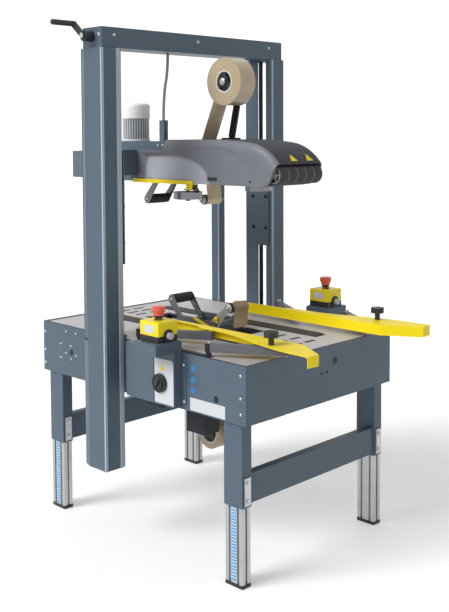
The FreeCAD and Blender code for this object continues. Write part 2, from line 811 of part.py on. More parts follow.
def side_disc():
    # The steel compression disc beside the upper tape unit.
    disc = rod(disc_radius, V(disc_x, disc_y, disc_low_z), V(disc_x, disc_y, disc_high_z))
    bore = rod(6.05, V(disc_x, disc_y, disc_low_z - 1), V(disc_x, disc_y, disc_high_z + 1))
    return disc.cut(bore)


def disc_bracket():
    # A short arm below the chassis with the pin of the compression disc.
    arm_z = disc_high_z + running_gap
    plate = box(disc_x - 12, disc_x + 12, disc_y - 9, -70.0, arm_z, arm_z + 4)
    post = box(disc_x - 12, disc_x + 12, -82.0, -70.0, arm_z, head_bottom_z + 1)
    pin = rod(6.0, V(disc_x, disc_y, disc_low_z - 4), V(disc_x, disc_y, arm_z + 1))
    head = rod(9.0, V(disc_x, disc_y, disc_low_z - 7), V(disc_x, disc_y, disc_low_z - seat_gap))
    return join([plate, post, pin, head])


def guide_rail():
    # The far guide: a folded sheet with a wide top flange and a flared end.
    t = guide_sheet
    top = guide_top_z
    low = top - guide_height
    y = guide_inner_y
    bend = guide_bend_x
    end_x = guide_end_x
    end_y = guide_end_y
    back_y = guide_return_y
    wall = [
        (guide_rear_x, y),
        (bend, y),
        (end_x, end_y),
        (end_x - 4, back_y),
        (end_x - 4 - t, back_y),
        (end_x - t, end_y + 1),
        (bend - 1, y + t),
        (guide_rear_x, y + t),
    ]
    flange = [
        (guide_rear_x, y),
        (bend, y),
        (end_x, end_y),
        (end_x - 4, back_y + 2),
        (610.0, y + 114),
        (537.0, y + 99),
        (468.0, y + 83),
        (391.0, y + 57),
        (310.0, y + 40),
        (260.0, y + 38),
        (190.0, y + 38),
        (150.0, y + 18),
        (guide_rear_x, y + 18),
    ]
    pieces = [extrude_z(wall, low, top), extrude_z(flange, top - t, top)]
    pin_y = arm_pivot_y - arm_reach_y
    for x in (arm_front_pivot_x + arm_reach_x, arm_rear_pivot_x + arm_reach_x):
        pieces.append(rod(arm_pin_radius, V(x, pin_y, arm_top_z - arm_height - 3), V(x, pin_y, top)))
    stud = rod(5.0, V(knob_x, knob_y, top - t), V(knob_x, knob_y, top + 14))
    return join(pieces + [stud])


def guide_arm(pivot_x):
    # One swing arm of the far guide: a deep channel, open below, with solid round ends.
    start = V(pivot_x, arm_pivot_y, 0)
    end = start + V(arm_reach_x, -arm_reach_y, 0)
    z0 = arm_top_z - arm_height
    arm = slot_plate_z((start.x, start.y), (end.x, end.y), arm_width / 2, z0, arm_top_z)
    along = end - start
    along.normalize()
    a = start + along * (arm_width + 4)
    b = end - along * (arm_width + 4)
    cuts = [slot_plate_z((a.x, a.y), (b.x, b.y), arm_width / 2 - arm_wall, z0 - 1, arm_top_z - arm_wall)]
    for pin in (start, end):
        low = V(pin.x, pin.y, z0 - 1)
        cuts.append(rod(arm_pin_radius + 0.05, low, V(pin.x, pin.y, arm_top_z + 1)))
    return arm.cut(cuts)


def guide_posts():
    # The two far pivot posts on one strip that is screwed to the bed top.
    x0 = arm_rear_pivot_x - 14
    x1 = arm_front_pivot_x + 14
    y = arm_pivot_y
    pieces = [box(x0, x1, y - 9, y + 9, bed_top_z, bed_top_z + 3)]
    z1 = arm_top_z - arm_height - 0.5
    for x in (arm_rear_pivot_x, arm_front_pivot_x):
        pieces.append(rod(9.0, V(x, y, bed_top_z), V(x, y, z1)))
        pieces.append(rod(arm_pin_radius, V(x, y, z1 - 1), V(x, y, arm_top_z + 4)))
    return join(pieces)


def clamp_knob():
    # The far clamping knob: a lobed head on a stem.
    z = guide_top_z + seat_gap
    stem = rod(9.0, V(knob_x, knob_y, z), V(knob_x, knob_y, z + 26))
    head = rod(knob_radius - 3, V(knob_x, knob_y, z + 24), V(knob_x, knob_y, z + 42))
    lobes = []
    for turn in range(6):
        angle = math.radians(60.0 * turn)
        reach = knob_radius - 6
        centre = V(knob_x + reach * math.cos(angle), knob_y + reach * math.sin(angle), z + 24)
        lobes.append(Part.makeCylinder(6.0, 18.0, centre, Z_AXIS))
    bore = rod(5.05, V(knob_x, knob_y, z - 1), V(knob_x, knob_y, guide_top_z + 14.5))
    return join([stem, head] + lobes).cut(bore)


def control_cabinet():
    # The closed control cabinet, with the near emergency stop shelf on top of it.
    side = bed_width / 2
    body = box(cabinet_rear_x, cabinet_front_x, -cabinet_outer_y, -side, cabinet_bottom_z, cabinet_top_z)
    gap = box(145.5, 149.0, -cabinet_outer_y - 1, -cabinet_outer_y + 2.5, cabinet_bottom_z + 3, 684.0)
    front_y = -cabinet_outer_y
    spindle = rod(5.0, V(switch_x, front_y + 1, switch_z), V(switch_x, front_y - 10, switch_z))
    return join([body.cut(gap), spindle])


def stop_bracket():
    # The far emergency stop shelf, a folded box open below.
    t = stop_bracket_sheet
    x0 = stop_bracket_rear_x
    x1 = cabinet_front_x
    y0 = stop_bracket_inner_y
    y1 = stop_bracket_outer_y
    top = stop_bracket_top_z
    outer = box(x0, x1, y0, y1, bed_top_z + 2, top)
    inner = box(x0 + t, x1 - t, y0 + t, y1 - t, bed_top_z, top - t)
    shelf = outer.cut(inner)
    wall = bed_width / 2
    tongue = box(x0, x1, wall, y0 + t, bed_top_z - 67, top - t)
    plate = tongue.cut(box(x0 - 1, x1 + 1, wall + t, y1, bed_top_z - 68, bed_top_z + 2))
    return join([shelf, plate])


def stop_box():
    # The far emergency stop housing: a black base, a yellow lid and a round cable entry at the side.
    x = stop_box_x
    y = stop_box_y
    half_x = stop_box_long / 2
    half_y = stop_box_deep / 2
    z0 = stop_bracket_top_z
    z1 = z0 + stop_box_height
    split = z0 + stop_base_height
    base = box(x - half_x + 1, x + half_x - 1, y - half_y + 1, y + half_y - 1, z0, split + 1)
    lid = box(x - half_x, x + half_x, y - half_y, y + half_y, split, z1)
    edges = [edge for edge in lid.Edges if edge.BoundBox.ZMax > z1 - 0.01]
    lid = lid.makeChamfer(3.0, edges)
    collar = rod(15.0, V(x, y, z1 - 1), V(x, y, z1 + 2))
    entry_z = z0 + stop_boss_radius + 1
    side = x + half_x
    boss = rod(stop_boss_radius, V(side - 4, y, entry_z), V(side + 4, y, entry_z))
    gland = rod(11.0, V(side, y, entry_z), V(side + 16, y, entry_z))
    room = rod(button_stem_radius + 1, V(x, y, z0 + 40), V(x, y, z1 + 20))
    return join([base, lid, collar, boss, gland]).cut(room)


def stop_button():
    # The far mushroom button and its stem.
    x = stop_box_x
    y = stop_box_y
    stem = rod(button_stem_radius, V(x, y, stop_bracket_top_z + 52), V(x, y, button_bottom_z + 1))
    outline = [
        V(x, y, button_bottom_z),
        V(x + button_radius - 5, y, button_bottom_z),
        V(x + button_radius, y, button_top_z - 12),
        V(x + button_radius, y, button_top_z - 4),
        V(x + button_radius - 4, y, button_top_z),
        V(x, y, button_top_z),
    ]
    half_section = Part.Face(Part.makePolygon(outline + [outline[0]]))
    cap = half_section.revolve(V(x, y, 0), Z_AXIS, 360)
    return join([stem, cap])


def rotary_switch():
    # The black main switch: a round base and a raised grip bar.
    y = -cabinet_outer_y - seat_gap
    base = rod(switch_radius, V(switch_x, y, switch_z), V(switch_x, y - 12, switch_z))
    bore = rod(5.05, V(switch_x, y + 1, switch_z), V(switch_x, y - 10.5, switch_z))
    grip_half = switch_radius - 3
    grip = box(switch_x - 8, switch_x + 8, y - 30, y - 11, switch_z - grip_half, switch_z + grip_half)
    return join([base, grip]).cut(bore)


def drive_motor():
    # The belt drive under the bed: a motor lying along X with a terminal box.
    y = drive_y
    z = drive_z
    body = rod(drive_radius, V(-90.0, y, z), V(60.0, y, z))
    gear = box(-170.0, -88.0, y - 50, y + 50, z - 60, z + 60)
    terminal = box(30.0, 125.0, y - 42, y + 30, z - 118, z - 4)
    hanger = box(-160.0, -125.0, y + 21, y + 46, z + 55, bed_top_z - top_sheet)
    return join([body, gear, terminal, hanger])


def cable(points, radius):
    # A round cable along straight runs joined by tangent arcs.
    count = len(points)
    edges = []
    last = points[0]
    for i in range(1, count - 1):
        before = points[i - 1] - points[i]
        after = points[i + 1] - points[i]
        shorter = min(before.Length, after.Length)
        turn = math.pi - before.getAngle(after)
        arc_radius = 0.45 * shorter / math.tan(turn / 2)
        cut = 0.45 * shorter
        before.normalize()
        after.normalize()
        start = points[i] + before * cut
        end = points[i] + after * cut
        bisector = before + after
        bisector.normalize()
        reach = math.hypot(cut, arc_radius)
        middle = points[i] + bisector * (reach - arc_radius)
        edges.append(Part.makeLine(last, start))
        edges.append(Part.Arc(start, middle, end).toShape())
        print("bend radius", round(arc_radius, 1))
        last = end
    edges.append(Part.makeLine(last, points[-1]))
    path = Part.Wire(edges)
    heading = points[1] - points[0]
    ring = Part.Wire([Part.makeCircle(radius, points[0], heading)])
    return path.makePipeShell([ring], True, False)


def save(name, *shapes):
    # Like pieces share one file, as solids that do not touch.
    if len(shapes) == 1:
        shape = shapes[0]
    else:
        shape = Part.makeCompound(list(shapes))
    if len(shape.Solids) != len(shapes):
        print("solids in", name, len(shape.Solids))
    if not shape.isValid():
        print("not valid", name)
    shape.exportStep("parts/" + name + ".step")


os.makedirs("parts", exist_ok=True)

save("infeed_end_panel", end_panel(1))
save("outfeed_end_panel", end_panel(-1))
save("near_side_panel", side_panel(-1))
save("far_side_panel", side_panel(1))
save("bed_top_plate", bed_top())
save("drive_belts", belt(-1), belt(1))
save("belt_bed", belt_bed())
save("infeed_leg_frame", leg_frame(1))
save("outfeed_leg_frame", leg_frame(-1))
legs = [inner_leg(sign, side) for sign in (-1, 1) for side in (-1, 1)]
save("inner_legs", *legs)
save("far_column", column())
save("near_column", mirrored(column()))
save("crossbeam", crossbeam())
save("crank", crank())
save("head_frame", head_frame())
save("front_roller", front_roller())
save("front_roller_pin", front_roller_pin())
save("far_side_cover", side_cover())
save("near_side_cover", mirrored(side_cover()))
save("top_cover", top_cover())
save("head_motor", head_motor())
save("upper_unit_frame", upper_unit_frame())
save("upper_apply_arm", swing_arm(upper_apply_pivot, upper_apply))
save("upper_apply_roller", tape_roller(upper_apply, roller_radius))
save("upper_buff_arm", swing_arm(upper_buff_pivot, upper_buff))
save("upper_buff_roller", tape_roller(upper_buff, roller_radius))
save("lower_unit_frame", lower_unit_frame())
save("lower_apply_arm", swing_arm(lower_apply_pivot, lower_apply))
save("lower_apply_roller", tape_roller(lower_apply, roller_radius))
save("lower_buff_arm", swing_arm(lower_buff_pivot, lower_buff))
save("lower_buff_roller", tape_roller(lower_buff, roller_radius))
save("upper_tape_roll", tape_roll(upper_roll_x, upper_roll_z, upper_roll_radius))
save("lower_tape_roll", tape_roll(lower_roll_x, lower_roll_z, lower_roll_radius))
save("roll_arm", roll_arm())
save("tape_strip", tape_strip())
save("yellow_guard", yellow_guard())
save("side_disc", side_disc())
save("far_guide", guide_rail())
save("near_guide", mirrored(guide_rail()))
save("far_front_guide_arm", guide_arm(arm_front_pivot_x))
save("far_rear_guide_arm", guide_arm(arm_rear_pivot_x))
save("near_front_guide_arm", mirrored(guide_arm(arm_front_pivot_x)))
save("near_rear_guide_arm", mirrored(guide_arm(arm_rear_pivot_x)))
save("guide_posts", guide_posts(), mirrored(guide_posts()))
save("far_knob", clamp_knob())
save("near_knob", mirrored(clamp_knob()))
save("control_cabinet", join([control_cabinet(), mirrored(stop_bracket())]))
save("far_stop_bracket", stop_bracket())
save("stop_boxes", stop_box(), mirrored(stop_box()))
save("far_stop_button", stop_button())
save("near_stop_button", mirrored(stop_button()))
save("main_switch", rotary_switch())
save("drive_motor", drive_motor())
duct_path = [
    V(-124.0, -95.0, column_top_z),
    V(-124.0, -95.0, column_top_z - 59),
    V(cable_post_x, -90.0, column_top_z - 154),
    V(cable_post_x, -90.0, cable_post_top_z),
]
save("head_cable", cable(duct_path, cable_radius))
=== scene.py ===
import bmesh
import bpy
import math
from mathutils import Matrix, Vector


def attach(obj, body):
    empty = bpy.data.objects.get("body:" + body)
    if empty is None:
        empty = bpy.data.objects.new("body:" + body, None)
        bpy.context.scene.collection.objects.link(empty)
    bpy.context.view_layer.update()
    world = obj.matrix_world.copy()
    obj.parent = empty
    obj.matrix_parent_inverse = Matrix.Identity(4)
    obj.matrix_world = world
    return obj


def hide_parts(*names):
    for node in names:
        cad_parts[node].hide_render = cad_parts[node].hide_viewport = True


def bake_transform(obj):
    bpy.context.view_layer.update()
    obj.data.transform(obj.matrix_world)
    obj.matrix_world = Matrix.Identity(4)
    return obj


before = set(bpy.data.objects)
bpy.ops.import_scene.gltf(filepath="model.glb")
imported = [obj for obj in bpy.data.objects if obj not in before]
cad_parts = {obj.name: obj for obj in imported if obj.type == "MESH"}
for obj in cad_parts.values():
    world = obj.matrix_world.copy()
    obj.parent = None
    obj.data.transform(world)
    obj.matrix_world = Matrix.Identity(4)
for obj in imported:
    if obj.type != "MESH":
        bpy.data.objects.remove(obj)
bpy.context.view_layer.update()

# Bed panels, leg frames, columns and crossbeam: folded sheet steel, welded or screwed together,
# with a blue grey powder coat. The coat gives a satin gloss, a fine peel and slightly uneven tone.
# Places and sizes of pieces are in mm; the conduit, the backdrop and the camera are in metres.


def linear(hex_colour):
    channels = [int(hex_colour[i:i + 2], 16) / 255 for i in (1, 3, 5)]
    return [c / 12.92 if c <= 0.04045 else ((c + 0.055) / 1.055) ** 2.4 for c in channels] + [1.0]


def add_node(material, kind, settings, inputs):
    node = material.node_tree.nodes.new(kind)
    for key, value in settings.items():
        setattr(node, key, value)
    for key, value in inputs.items():
        if isinstance(value, tuple) and isinstance(value[0], bpy.types.Node):
            material.node_tree.links.new(value[0].outputs[value[1]], node.inputs[key])
        else:
            node.inputs[key].default_value = value
    return node


def new_material(name):
    # A material with no finish yet, and the object coordinates that its patterns read.
    material = bpy.data.materials.new(name)
    material.use_nodes = True
    material.node_tree.nodes.clear()
    return material, add_node(material, "ShaderNodeTexCoord", {}, {})


def cloudy(material, place, scale, detail, colour, shade):
    # Two near tones in soft clouds: the clouds, and the colour that they mix.
    cloud = add_node(material, "ShaderNodeTexNoise", {},
                     {"Vector": (place, "Object"), "Scale": scale, "Detail": detail})
    return cloud, add_node(material, "ShaderNodeMix", {"data_type": "RGBA"},
                           {0: (cloud, 0), 6: linear(colour), 7: linear(shade)})


def finished_surface(material, inputs):
    shader = add_node(material, "ShaderNodeBsdfPrincipled", {}, inputs)
    add_node(material, "ShaderNodeOutputMaterial", {}, {"Surface": (shader, 0)})
    return material


def powder_coat(name, colour, shade, roughness):
    paint, place = new_material(name)
    peel = add_node(paint, "ShaderNodeTexNoise", {},
                    {"Vector": (place, "Object"), "Scale": 420.0, "Detail": 2.0})
    tone, colours = cloudy(paint, place, 5.0, 4.0, colour, shade)
    handling = add_node(paint, "ShaderNodeMapRange", {},
                        {0: (tone, 0), 3: roughness - 0.06, 4: roughness + 0.06})
    bump = add_node(paint, "ShaderNodeBump", {}, {"Height": (peel, 0), "Strength": 0.12, "Distance": 0.0004})
    return finished_surface(paint, {"Base Color": (colours, 2), "Roughness": (handling, 0),
                                    "Normal": (bump, 0), "Specular IOR Level": 0.3})


def place_piece(name, mesh, materials, body, edge=0.0, angle=35.0, stands_for=()):
    for material in materials:
        mesh.materials.append(material)
    mesh.shade_smooth()
    mesh.set_sharp_from_angle(angle=math.radians(angle))
    piece = bpy.data.objects.new(name, mesh)
    bpy.context.scene.collection.objects.link(piece)
    if edge:
        bevel = piece.modifiers.new("broken_edges", "BEVEL")
        bevel.width = edge / 1000
        bevel.segments = 2
        bevel.limit_method = "ANGLE"
        bevel.angle_limit = math.radians(angle)
        bevel.harden_normals = True
        bevel.use_clamp_overlap = True
    if body:
        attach(piece, body)
    if stands_for:
        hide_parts(*stands_for)
    return piece


def dress(node, body, materials, edge=0.8, patches=()):
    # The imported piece, merged, with broken edges and a finish. Each patch is a test on a face's
    # centre and normal, in mm, and picks the next material.
    shape = bmesh.new()
    shape.from_mesh(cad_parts[node].data)
    bmesh.ops.remove_doubles(shape, verts=shape.verts, dist=0.00002)
    bmesh.ops.dissolve_limit(shape, angle_limit=math.radians(0.5), verts=shape.verts, edges=shape.edges)
    for face in shape.faces:
        centre = face.calc_center_median() * 1000
        face.material_index = 0
        for number, test in enumerate(patches):
            if test(centre, face.normal):
                face.material_index = number + 1
    mesh = bpy.data.meshes.new(node)
    shape.to_mesh(mesh)
    shape.free()
    return place_piece(node + "_dressed", mesh, materials, body, edge, 35.0, (node,))


blue_grey_coat = powder_coat("blue_grey_powder_coat", "#586877", "#51616F", 0.42)
# A lighter copy of the coat: painted highlight for the rounded folds that catch the light.
fold_highlight_coat = powder_coat("blue_grey_coat_painted_highlight_on_folds", "#B4C2CF", "#A9B8C6", 0.35)
# A dark copy of the coat: painted shade for the narrow gaps along the bed's edges.
shadow_coat = powder_coat("painted_shade_on_top_folds", "#3B4148", "#353A41", 0.5)
column_front = -48.9

for node in ("infeed_end_panel", "outfeed_end_panel", "near_side_panel", "far_side_panel"):
    dress(node, "frame", [blue_grey_coat])
for node in ("infeed_leg_frame", "outfeed_leg_frame", "crossbeam"):
    dress(node, "frame", [blue_grey_coat], 1.0)
# Faces of the columns in front of column_front take the lighter copy, a painted highlight.
for node in ("far_column", "near_column"):
    dress(node, "frame", [blue_grey_coat, fold_highlight_coat], 1.0,
          (lambda centre, normal: centre.x > column_front,))

# Screws of the bed and the crossbeam: button head screws with a hexagon socket, zinc plated at
# the corners, round the belt shafts and in the beam, black at the infeed end.


def new_shape():
    return bmesh.new()


def turned(shape, profile, base, axis, steps=24):
    # A profile of radius and height, in mm, spun about an axis through base.
    base = Vector(base)
    axis = Vector(axis).normalized()
    across = axis.orthogonal().normalized()
    before = set(shape.faces)
    points = [shape.verts.new(base + axis * height + across * radius) for radius, height in profile]
    edges = [shape.edges.new(pair) for pair in zip(points, points[1:])]
    bmesh.ops.spin(shape, geom=points + edges, cent=base, axis=axis, dvec=(0, 0, 0),
                   angle=math.tau, steps=steps, use_merge=True, use_duplicate=False)
    faces = [face for face in shape.faces if face not in before]
    verts = list({vert for face in faces for vert in face.verts})
    bmesh.ops.remove_doubles(shape, verts=verts, dist=0.001)
    faces = [face for face in shape.faces if face not in before]
    bmesh.ops.recalc_face_normals(shape, faces=faces)


def block(shape, low, high):
    size = [b - a for a, b in zip(low, high)]
    middle = [(a + b) / 2 for a, b in zip(low, high)]
    matrix = Matrix.Translation(middle) @ Matrix.Diagonal((*size, 1.0))
    return bmesh.ops.create_cube(shape, size=1.0, matrix=matrix)["verts"]


def finish(name, shape, material, body, edge=0.0, stands_for=()):
    bmesh.ops.scale(shape, vec=(0.001, 0.001, 0.001), verts=shape.verts)
    mesh = bpy.data.meshes.new(name)
    shape.to_mesh(mesh)
    shape.free()
    materials = material if isinstance(material, list) else [material]
    return place_piece(name, mesh, materials, body, edge, 35.0, stands_for)


def screw(shape, place, axis, radius=5.0):
    profile = [(0, radius * 0.25), (radius * 0.42, radius * 0.25), (radius * 0.48, radius * 0.62),
               (radius * 0.75, radius * 0.5), (radius * 0.98, radius * 0.15), (radius, -0.2), (0, -0.2)]
    turned(shape, profile, place, axis, 16)


def plated_metal(name, colour, shade, roughness, scratch=(600.0, 600.0, 600.0)):
    # Bare or plated metal: cloudy roughness with fine marks along one way.
    metal, place = new_material(name)
    lay = add_node(metal, "ShaderNodeMapping", {}, {"Vector": (place, "Object"), "Scale": scratch})
    marks = add_node(metal, "ShaderNodeTexNoise", {}, {"Vector": (lay, 0), "Scale": 1.0, "Detail": 3.0})
    colours = cloudy(metal, place, 14.0, 3.0, colour, shade)[1]
    dull = add_node(metal, "ShaderNodeMapRange", {},
                    {0: (marks, 0), 3: roughness - 0.08, 4: roughness + 0.08})
    bump = add_node(metal, "ShaderNodeBump", {}, {"Height": (marks, 0), "Strength": 0.08, "Distance": 0.0002})
    return finished_surface(metal, {"Base Color": (colours, 2), "Roughness": (dull, 0),
                                    "Normal": (bump, 0), "Metallic": 1.0})


black_oxide = powder_coat("black_oxide_steel", "#202225", "#191B1D", 0.38)
zinc = plated_metal("zinc_plated_steel", "#C9CACC", "#B4B6B9", 0.32)

half_length, half_width = 525, 375.5
flange_screws = ((252, 667), (253, 548))
corner_screws = ((503, 674), (503, 604), (503, 555), *flange_screws, (-514, 667), (-514, 598), (-514, 550))
shaft_screws = ((-384, 684), (-324, 684), (-417, 635), (-416, 584),
                (-354, 634), (-354, 586), (-384, 604), (-323, 604))
beam_screw_height = 1742
bed_screws = new_shape()
bright_screws = new_shape()
for side in (-1, 1):
    y = side * (half_width + 0.1)
    for x, z in corner_screws:
        on_cabinet = side < 0 and (x, z) in flange_screws
        screw(bright_screws, (x, y - 2 if on_cabinet else y, z), (0, side, 0), 5.5)
    for x, z in shaft_screws:
        screw(bright_screws, (x, y, z), (0, side, 0), 4.5)
for y, z in ((-13, 619), (17, 620)):
    screw(bed_screws, (half_length, y, z), (1, 0, 0), 4.0)
for y in (-400, -9, 377):
    screw(bright_screws, (-53.9, y, beam_screw_height), (1, 0, 0), 6.5)
    screw(bright_screws, (-158.1, y, beam_screw_height), (-1, 0, 0), 6.5)
screw(bright_screws, (-70, -452.1, beam_screw_height), (0, -1, 0), 6.5)
finish("bed_screws", bed_screws, black_oxide, "frame")
finish("corner_and_beam_screws", bright_screws, zinc, "frame")

# Clamps of the telescopic legs: a zinc plated flat with two hexagon bolts on the infeed face of
# each outer leg, which hold the inner leg at its height.
leg_fronts = (494, -427.5)
clamp_y, clamp_thick = 343, 8
leg_bolts = new_shape()
for front_x in leg_fronts:
    for side in (-1, 1):
        block(leg_bolts, (front_x + 3, side * clamp_y - 14, 262),
              (front_x + clamp_thick, side * clamp_y + 14, 350))
        for z in (278, 334):
            turned(leg_bolts, [(0, 6), (6.5, 6), (7.5, 5), (7.5, -0.5), (0, -0.5)],
                   (front_x + clamp_thick, side * clamp_y, z), (1, 0, 0), 6)
finish("leg_clamp_bolts", leg_bolts, zinc, "frame", 0.5)

# Foot clips of the columns: folded strips in the blue grey coat along the bed's side edges, each
# held with two zinc plated button head screws.
foot_clips = new_shape()
clip_screws = new_shape()
clip_face, clip_back = 373, 375.2
for side in (-1, 1):
    y0, y1 = sorted((side * clip_face, side * clip_back))
    block(foot_clips, (-182, y0, 707.4), (-36, y1, 723))
    for x in (-171, -43):
        screw(clip_screws, (x, side * clip_face, 715), (0, -side, 0), 4.5)
finish("column_foot_clips", foot_clips, blue_grey_coat, "frame", 0.5)
finish("column_clip_screws", clip_screws, zinc, "frame")

# Folds: the rounded outer edges of the near column, where a lighter copy of the coat is painted highlight,
# the strip that closes its rear corner, and the narrow edges that the panels fold over the bed sheet, where a
# dark copy of the coat is painted shade.


def prism(shape, outline, z0, z1):
    # An upright bar from its outline in X and Y.
    low = [shape.verts.new((x, y, z0)) for x, y in outline]
    high = [shape.verts.new((x, y, z1)) for x, y in outline]
    faces = [shape.faces.new(low[::-1]), shape.faces.new(high)]
    for k in range(len(outline)):
        follow = (k + 1) % len(outline)
        faces.append(shape.faces.new((low[k], low[follow], high[follow], high[k])))
    bmesh.ops.recalc_face_normals(shape, faces=faces)


def slab(shape, points, y0, y1):
    # A flat plate upright along X, from its outline in X and Z.
    near = [shape.verts.new((x, y0, z)) for x, z in points]
    far = [shape.verts.new((x, y1, z)) for x, z in points]
    faces = [shape.faces.new(near), shape.faces.new(far[::-1])]
    for k in range(len(points)):
        follow = (k + 1) % len(points)
        faces.append(shape.faces.new((near[k], far[k], far[follow], near[follow])))
    bmesh.ops.recalc_face_normals(shape, faces=faces)


# The near column's fold strips: painted highlight in the lighter coat.
column_fold_highlight = new_shape()
fold_low, fold_high = 261, 1698
prism(column_fold_highlight, [(-57, -458.7), (-52, -458.8), (-50, -458.5), (-48.9, -457.4), (-48.6, -455.5),
                    (-48.6, -451), (-49.2, -451), (-49.6, -456.8), (-50.8, -458.1), (-57, -458.2)],
      fold_low, fold_high)
block(column_fold_highlight, (-49.2, -390, fold_low), (-48.4, -377.5, fold_high))
finish("near_column_fold_highlight", column_fold_highlight, fold_highlight_coat, "frame")
column_corner = new_shape()
verts = block(column_corner, (-178, -444, 706), (-138.8, -442.8, 1697))
corner_slope = Matrix.Rotation(math.atan2(-15.5, 36), 3, "Z")
bmesh.ops.rotate(column_corner, verts=verts, cent=(-178, -443, 0), matrix=corner_slope)
finish("near_column_corner_fold", column_corner, blue_grey_coat, "frame")
# Painted shade: dark strips along the bed's edges, where the panels fold over the sheet.
bed_fold_shade = new_shape()
fold_under, fold_top, fold_inside = 706.5, 707.2, 367.4
for side in (-1, 1):
    y0, y1 = sorted((side * half_width, side * fold_inside))
    block(bed_fold_shade, (-half_length, y0, fold_under), (half_length, y1, fold_top))
for x0, x1 in ((-half_length, -499), (519, half_length)):
    block(bed_fold_shade, (x0, -fold_inside, fold_under), (x1, fold_inside, fold_top))
finish("bed_edge_fold_shade", bed_fold_shade, shadow_coat, "frame")

# Far rear post: a slim folded channel behind the far edge of the bed, with the same coat, and at its
# near corner a fold in the lighter copy of the coat, a painted highlight.
far_post = new_shape()
prism(far_post, [(-379, 376), (-337, 376), (-337, 413), (-340, 413),
                 (-340, 379), (-376, 379), (-376, 413), (-379, 413)], 560, 1230)
finish("far_rear_post", far_post, blue_grey_coat, "frame", 0.8)
# Its near corner fold: painted highlight in the lighter coat.
post_fold_highlight = new_shape()
prism(post_fold_highlight, [(-341, 375.7), (-337.6, 375.7), (-336.7, 376.6), (-336.7, 379),
                  (-337.2, 379), (-337.2, 376.2), (-341, 376.2)], 561, 1229)
finish("far_rear_post_fold_highlight", post_fold_highlight, fold_highlight_coat, "frame")

# Plugs in the spare holes of the side panels and the infeed end panel: shallow black caps,
# pressed in from outside.
plugs = new_shape()
for side in (-1, 1):
    for x, z in ((-352, 611), (397, 582)):
        turned(plugs, [(0, 1.2), (8, 1.2), (11, 0.4), (11, -0.4), (0, -0.4)],
               (x, side * half_width, z), (0, side, 0), 32)
turned(plugs, [(0, 1.2), (9, 1.2), (12, 0.4), (12, -0.4), (0, -0.4)], (half_length, 59, 651), (1, 0, 0), 32)
finish("hole_plugs", plugs, black_oxide, "frame")

# Labels on the near side panel: three blank round blue stickers and one blank pale plate,
# printed foil stuck on the paint, with a soft satin face.


def plastic(name, colour, shade, roughness, grain=900.0, depth=0.06, coat=0.0):
    moulded, place = new_material(name)
    texture = add_node(moulded, "ShaderNodeTexNoise", {},
                       {"Vector": (place, "Object"), "Scale": grain, "Detail": 2.0})
    colours = cloudy(moulded, place, 22.0, 2.0, colour, shade)[1]
    bump = add_node(moulded, "ShaderNodeBump", {},
                    {"Height": (texture, 0), "Strength": depth, "Distance": 0.0003})
    return finished_surface(moulded, {"Base Color": (colours, 2), "Normal": (bump, 0),
                                      "Roughness": roughness, "Coat Weight": coat})


blue_foil = plastic("blue_printed_foil", "#2F7FC6", "#2B78BD", 0.4)
pale_foil = plastic("pale_printed_foil", "#D5D8DC", "#CDD1D6", 0.4)
stickers = new_shape()
for z in (662, 625, 591):
    turned(stickers, [(0, 0.5), (10.6, 0.5), (11, 0.2), (11, -0.2), (0, -0.2)],
           (293, -half_width - 0.1, z), (0, -1, 0), 32)
finish("blue_stickers", stickers, blue_foil, "frame")
plate = new_shape()
block(plate, (280, -376.3, 526), (437, -375.4, 567))
finish("blank_plate", plate, pale_foil, "frame", 0.2)

# The bed top is a plain steel sheet, brushed along the bed and dulled by cartons. Small black
# rollers stand in black frames in the slots at both ends.
brushed_sheet = plated_metal("brushed_bed_sheet", "#C9C5C6", "#BFBBBC", 0.6, (30.0, 900.0, 900.0))
brushed_sheet.node_tree.nodes["Principled BSDF"].inputs["Metallic"].default_value = 0.45
dress("bed_top_plate", "frame", [brushed_sheet, blue_grey_coat], 0.4,
      (lambda centre, normal: abs(normal.z) < 0.5 and (abs(centre.x) > 524 or abs(centre.y) > 374.5),))
small_rollers = new_shape()
for step in range(3):
    for x in (306 + 65 * step, -355 - 50 * step):
        for y0 in (11, -59):
            block(small_rollers, (x - 8.5, y0 - 2, 706.6), (x + 8.5, y0 + 50, 707.3))
            turned(small_rollers, [(0, 0), (4.2, 0), (4.8, 1), (4.8, 47), (4.2, 48), (0, 48)],
                   (x, y0, 703.6), (0, 1, 0), 16)
finish("bed_end_rollers", small_rollers, black_oxide, "frame")

# Drive belts: black ribbed rubber on a woven core, one closed loop each, over plated pulleys
# and a steel slide bar inside the bed.


def rubber(name, colour, shade, rib_scale, way):
    black, place = new_material(name)
    ribs = add_node(black, "ShaderNodeTexWave", {"bands_direction": way, "wave_profile": "SIN"},
                    {"Vector": (place, "Object"), "Scale": rib_scale})
    colours = cloudy(black, place, 60.0, 4.0, colour, shade)[1]
    bump = add_node(black, "ShaderNodeBump", {}, {"Height": (ribs, 1), "Strength": 0.25, "Distance": 0.0006})
    return finished_surface(black, {"Base Color": (colours, 2), "Normal": (bump, 0), "Roughness": 0.72})


# A wave of scale s repeats every tau / (20 s) metres, so 63 gives ribs 5 mm apart.
belt_rubber = rubber("ribbed_belt_rubber", "#282525", "#302D2C", 63.0, "X")
dress("drive_belts", "frame", [belt_rubber], 0.6)
dress("belt_bed", "frame", [zinc], 0.6)

# Telescopic legs: extruded aluminium profile with grooves, clear anodised, on moulded black feet.
# The near legs carry a printed height scale of plain ticks, one each 10 mm.
anodised = plated_metal("anodised_aluminium", "#C2C4C6", "#B2B4B7", 0.36, (900.0, 900.0, 20.0))
black_moulding = plastic("black_moulded_plastic", "#1C1D20", "#232427", 0.5)
dress("inner_legs", "frame", [anodised, black_moulding], 0.8,
      (lambda centre, normal: centre.z < 12.1,))

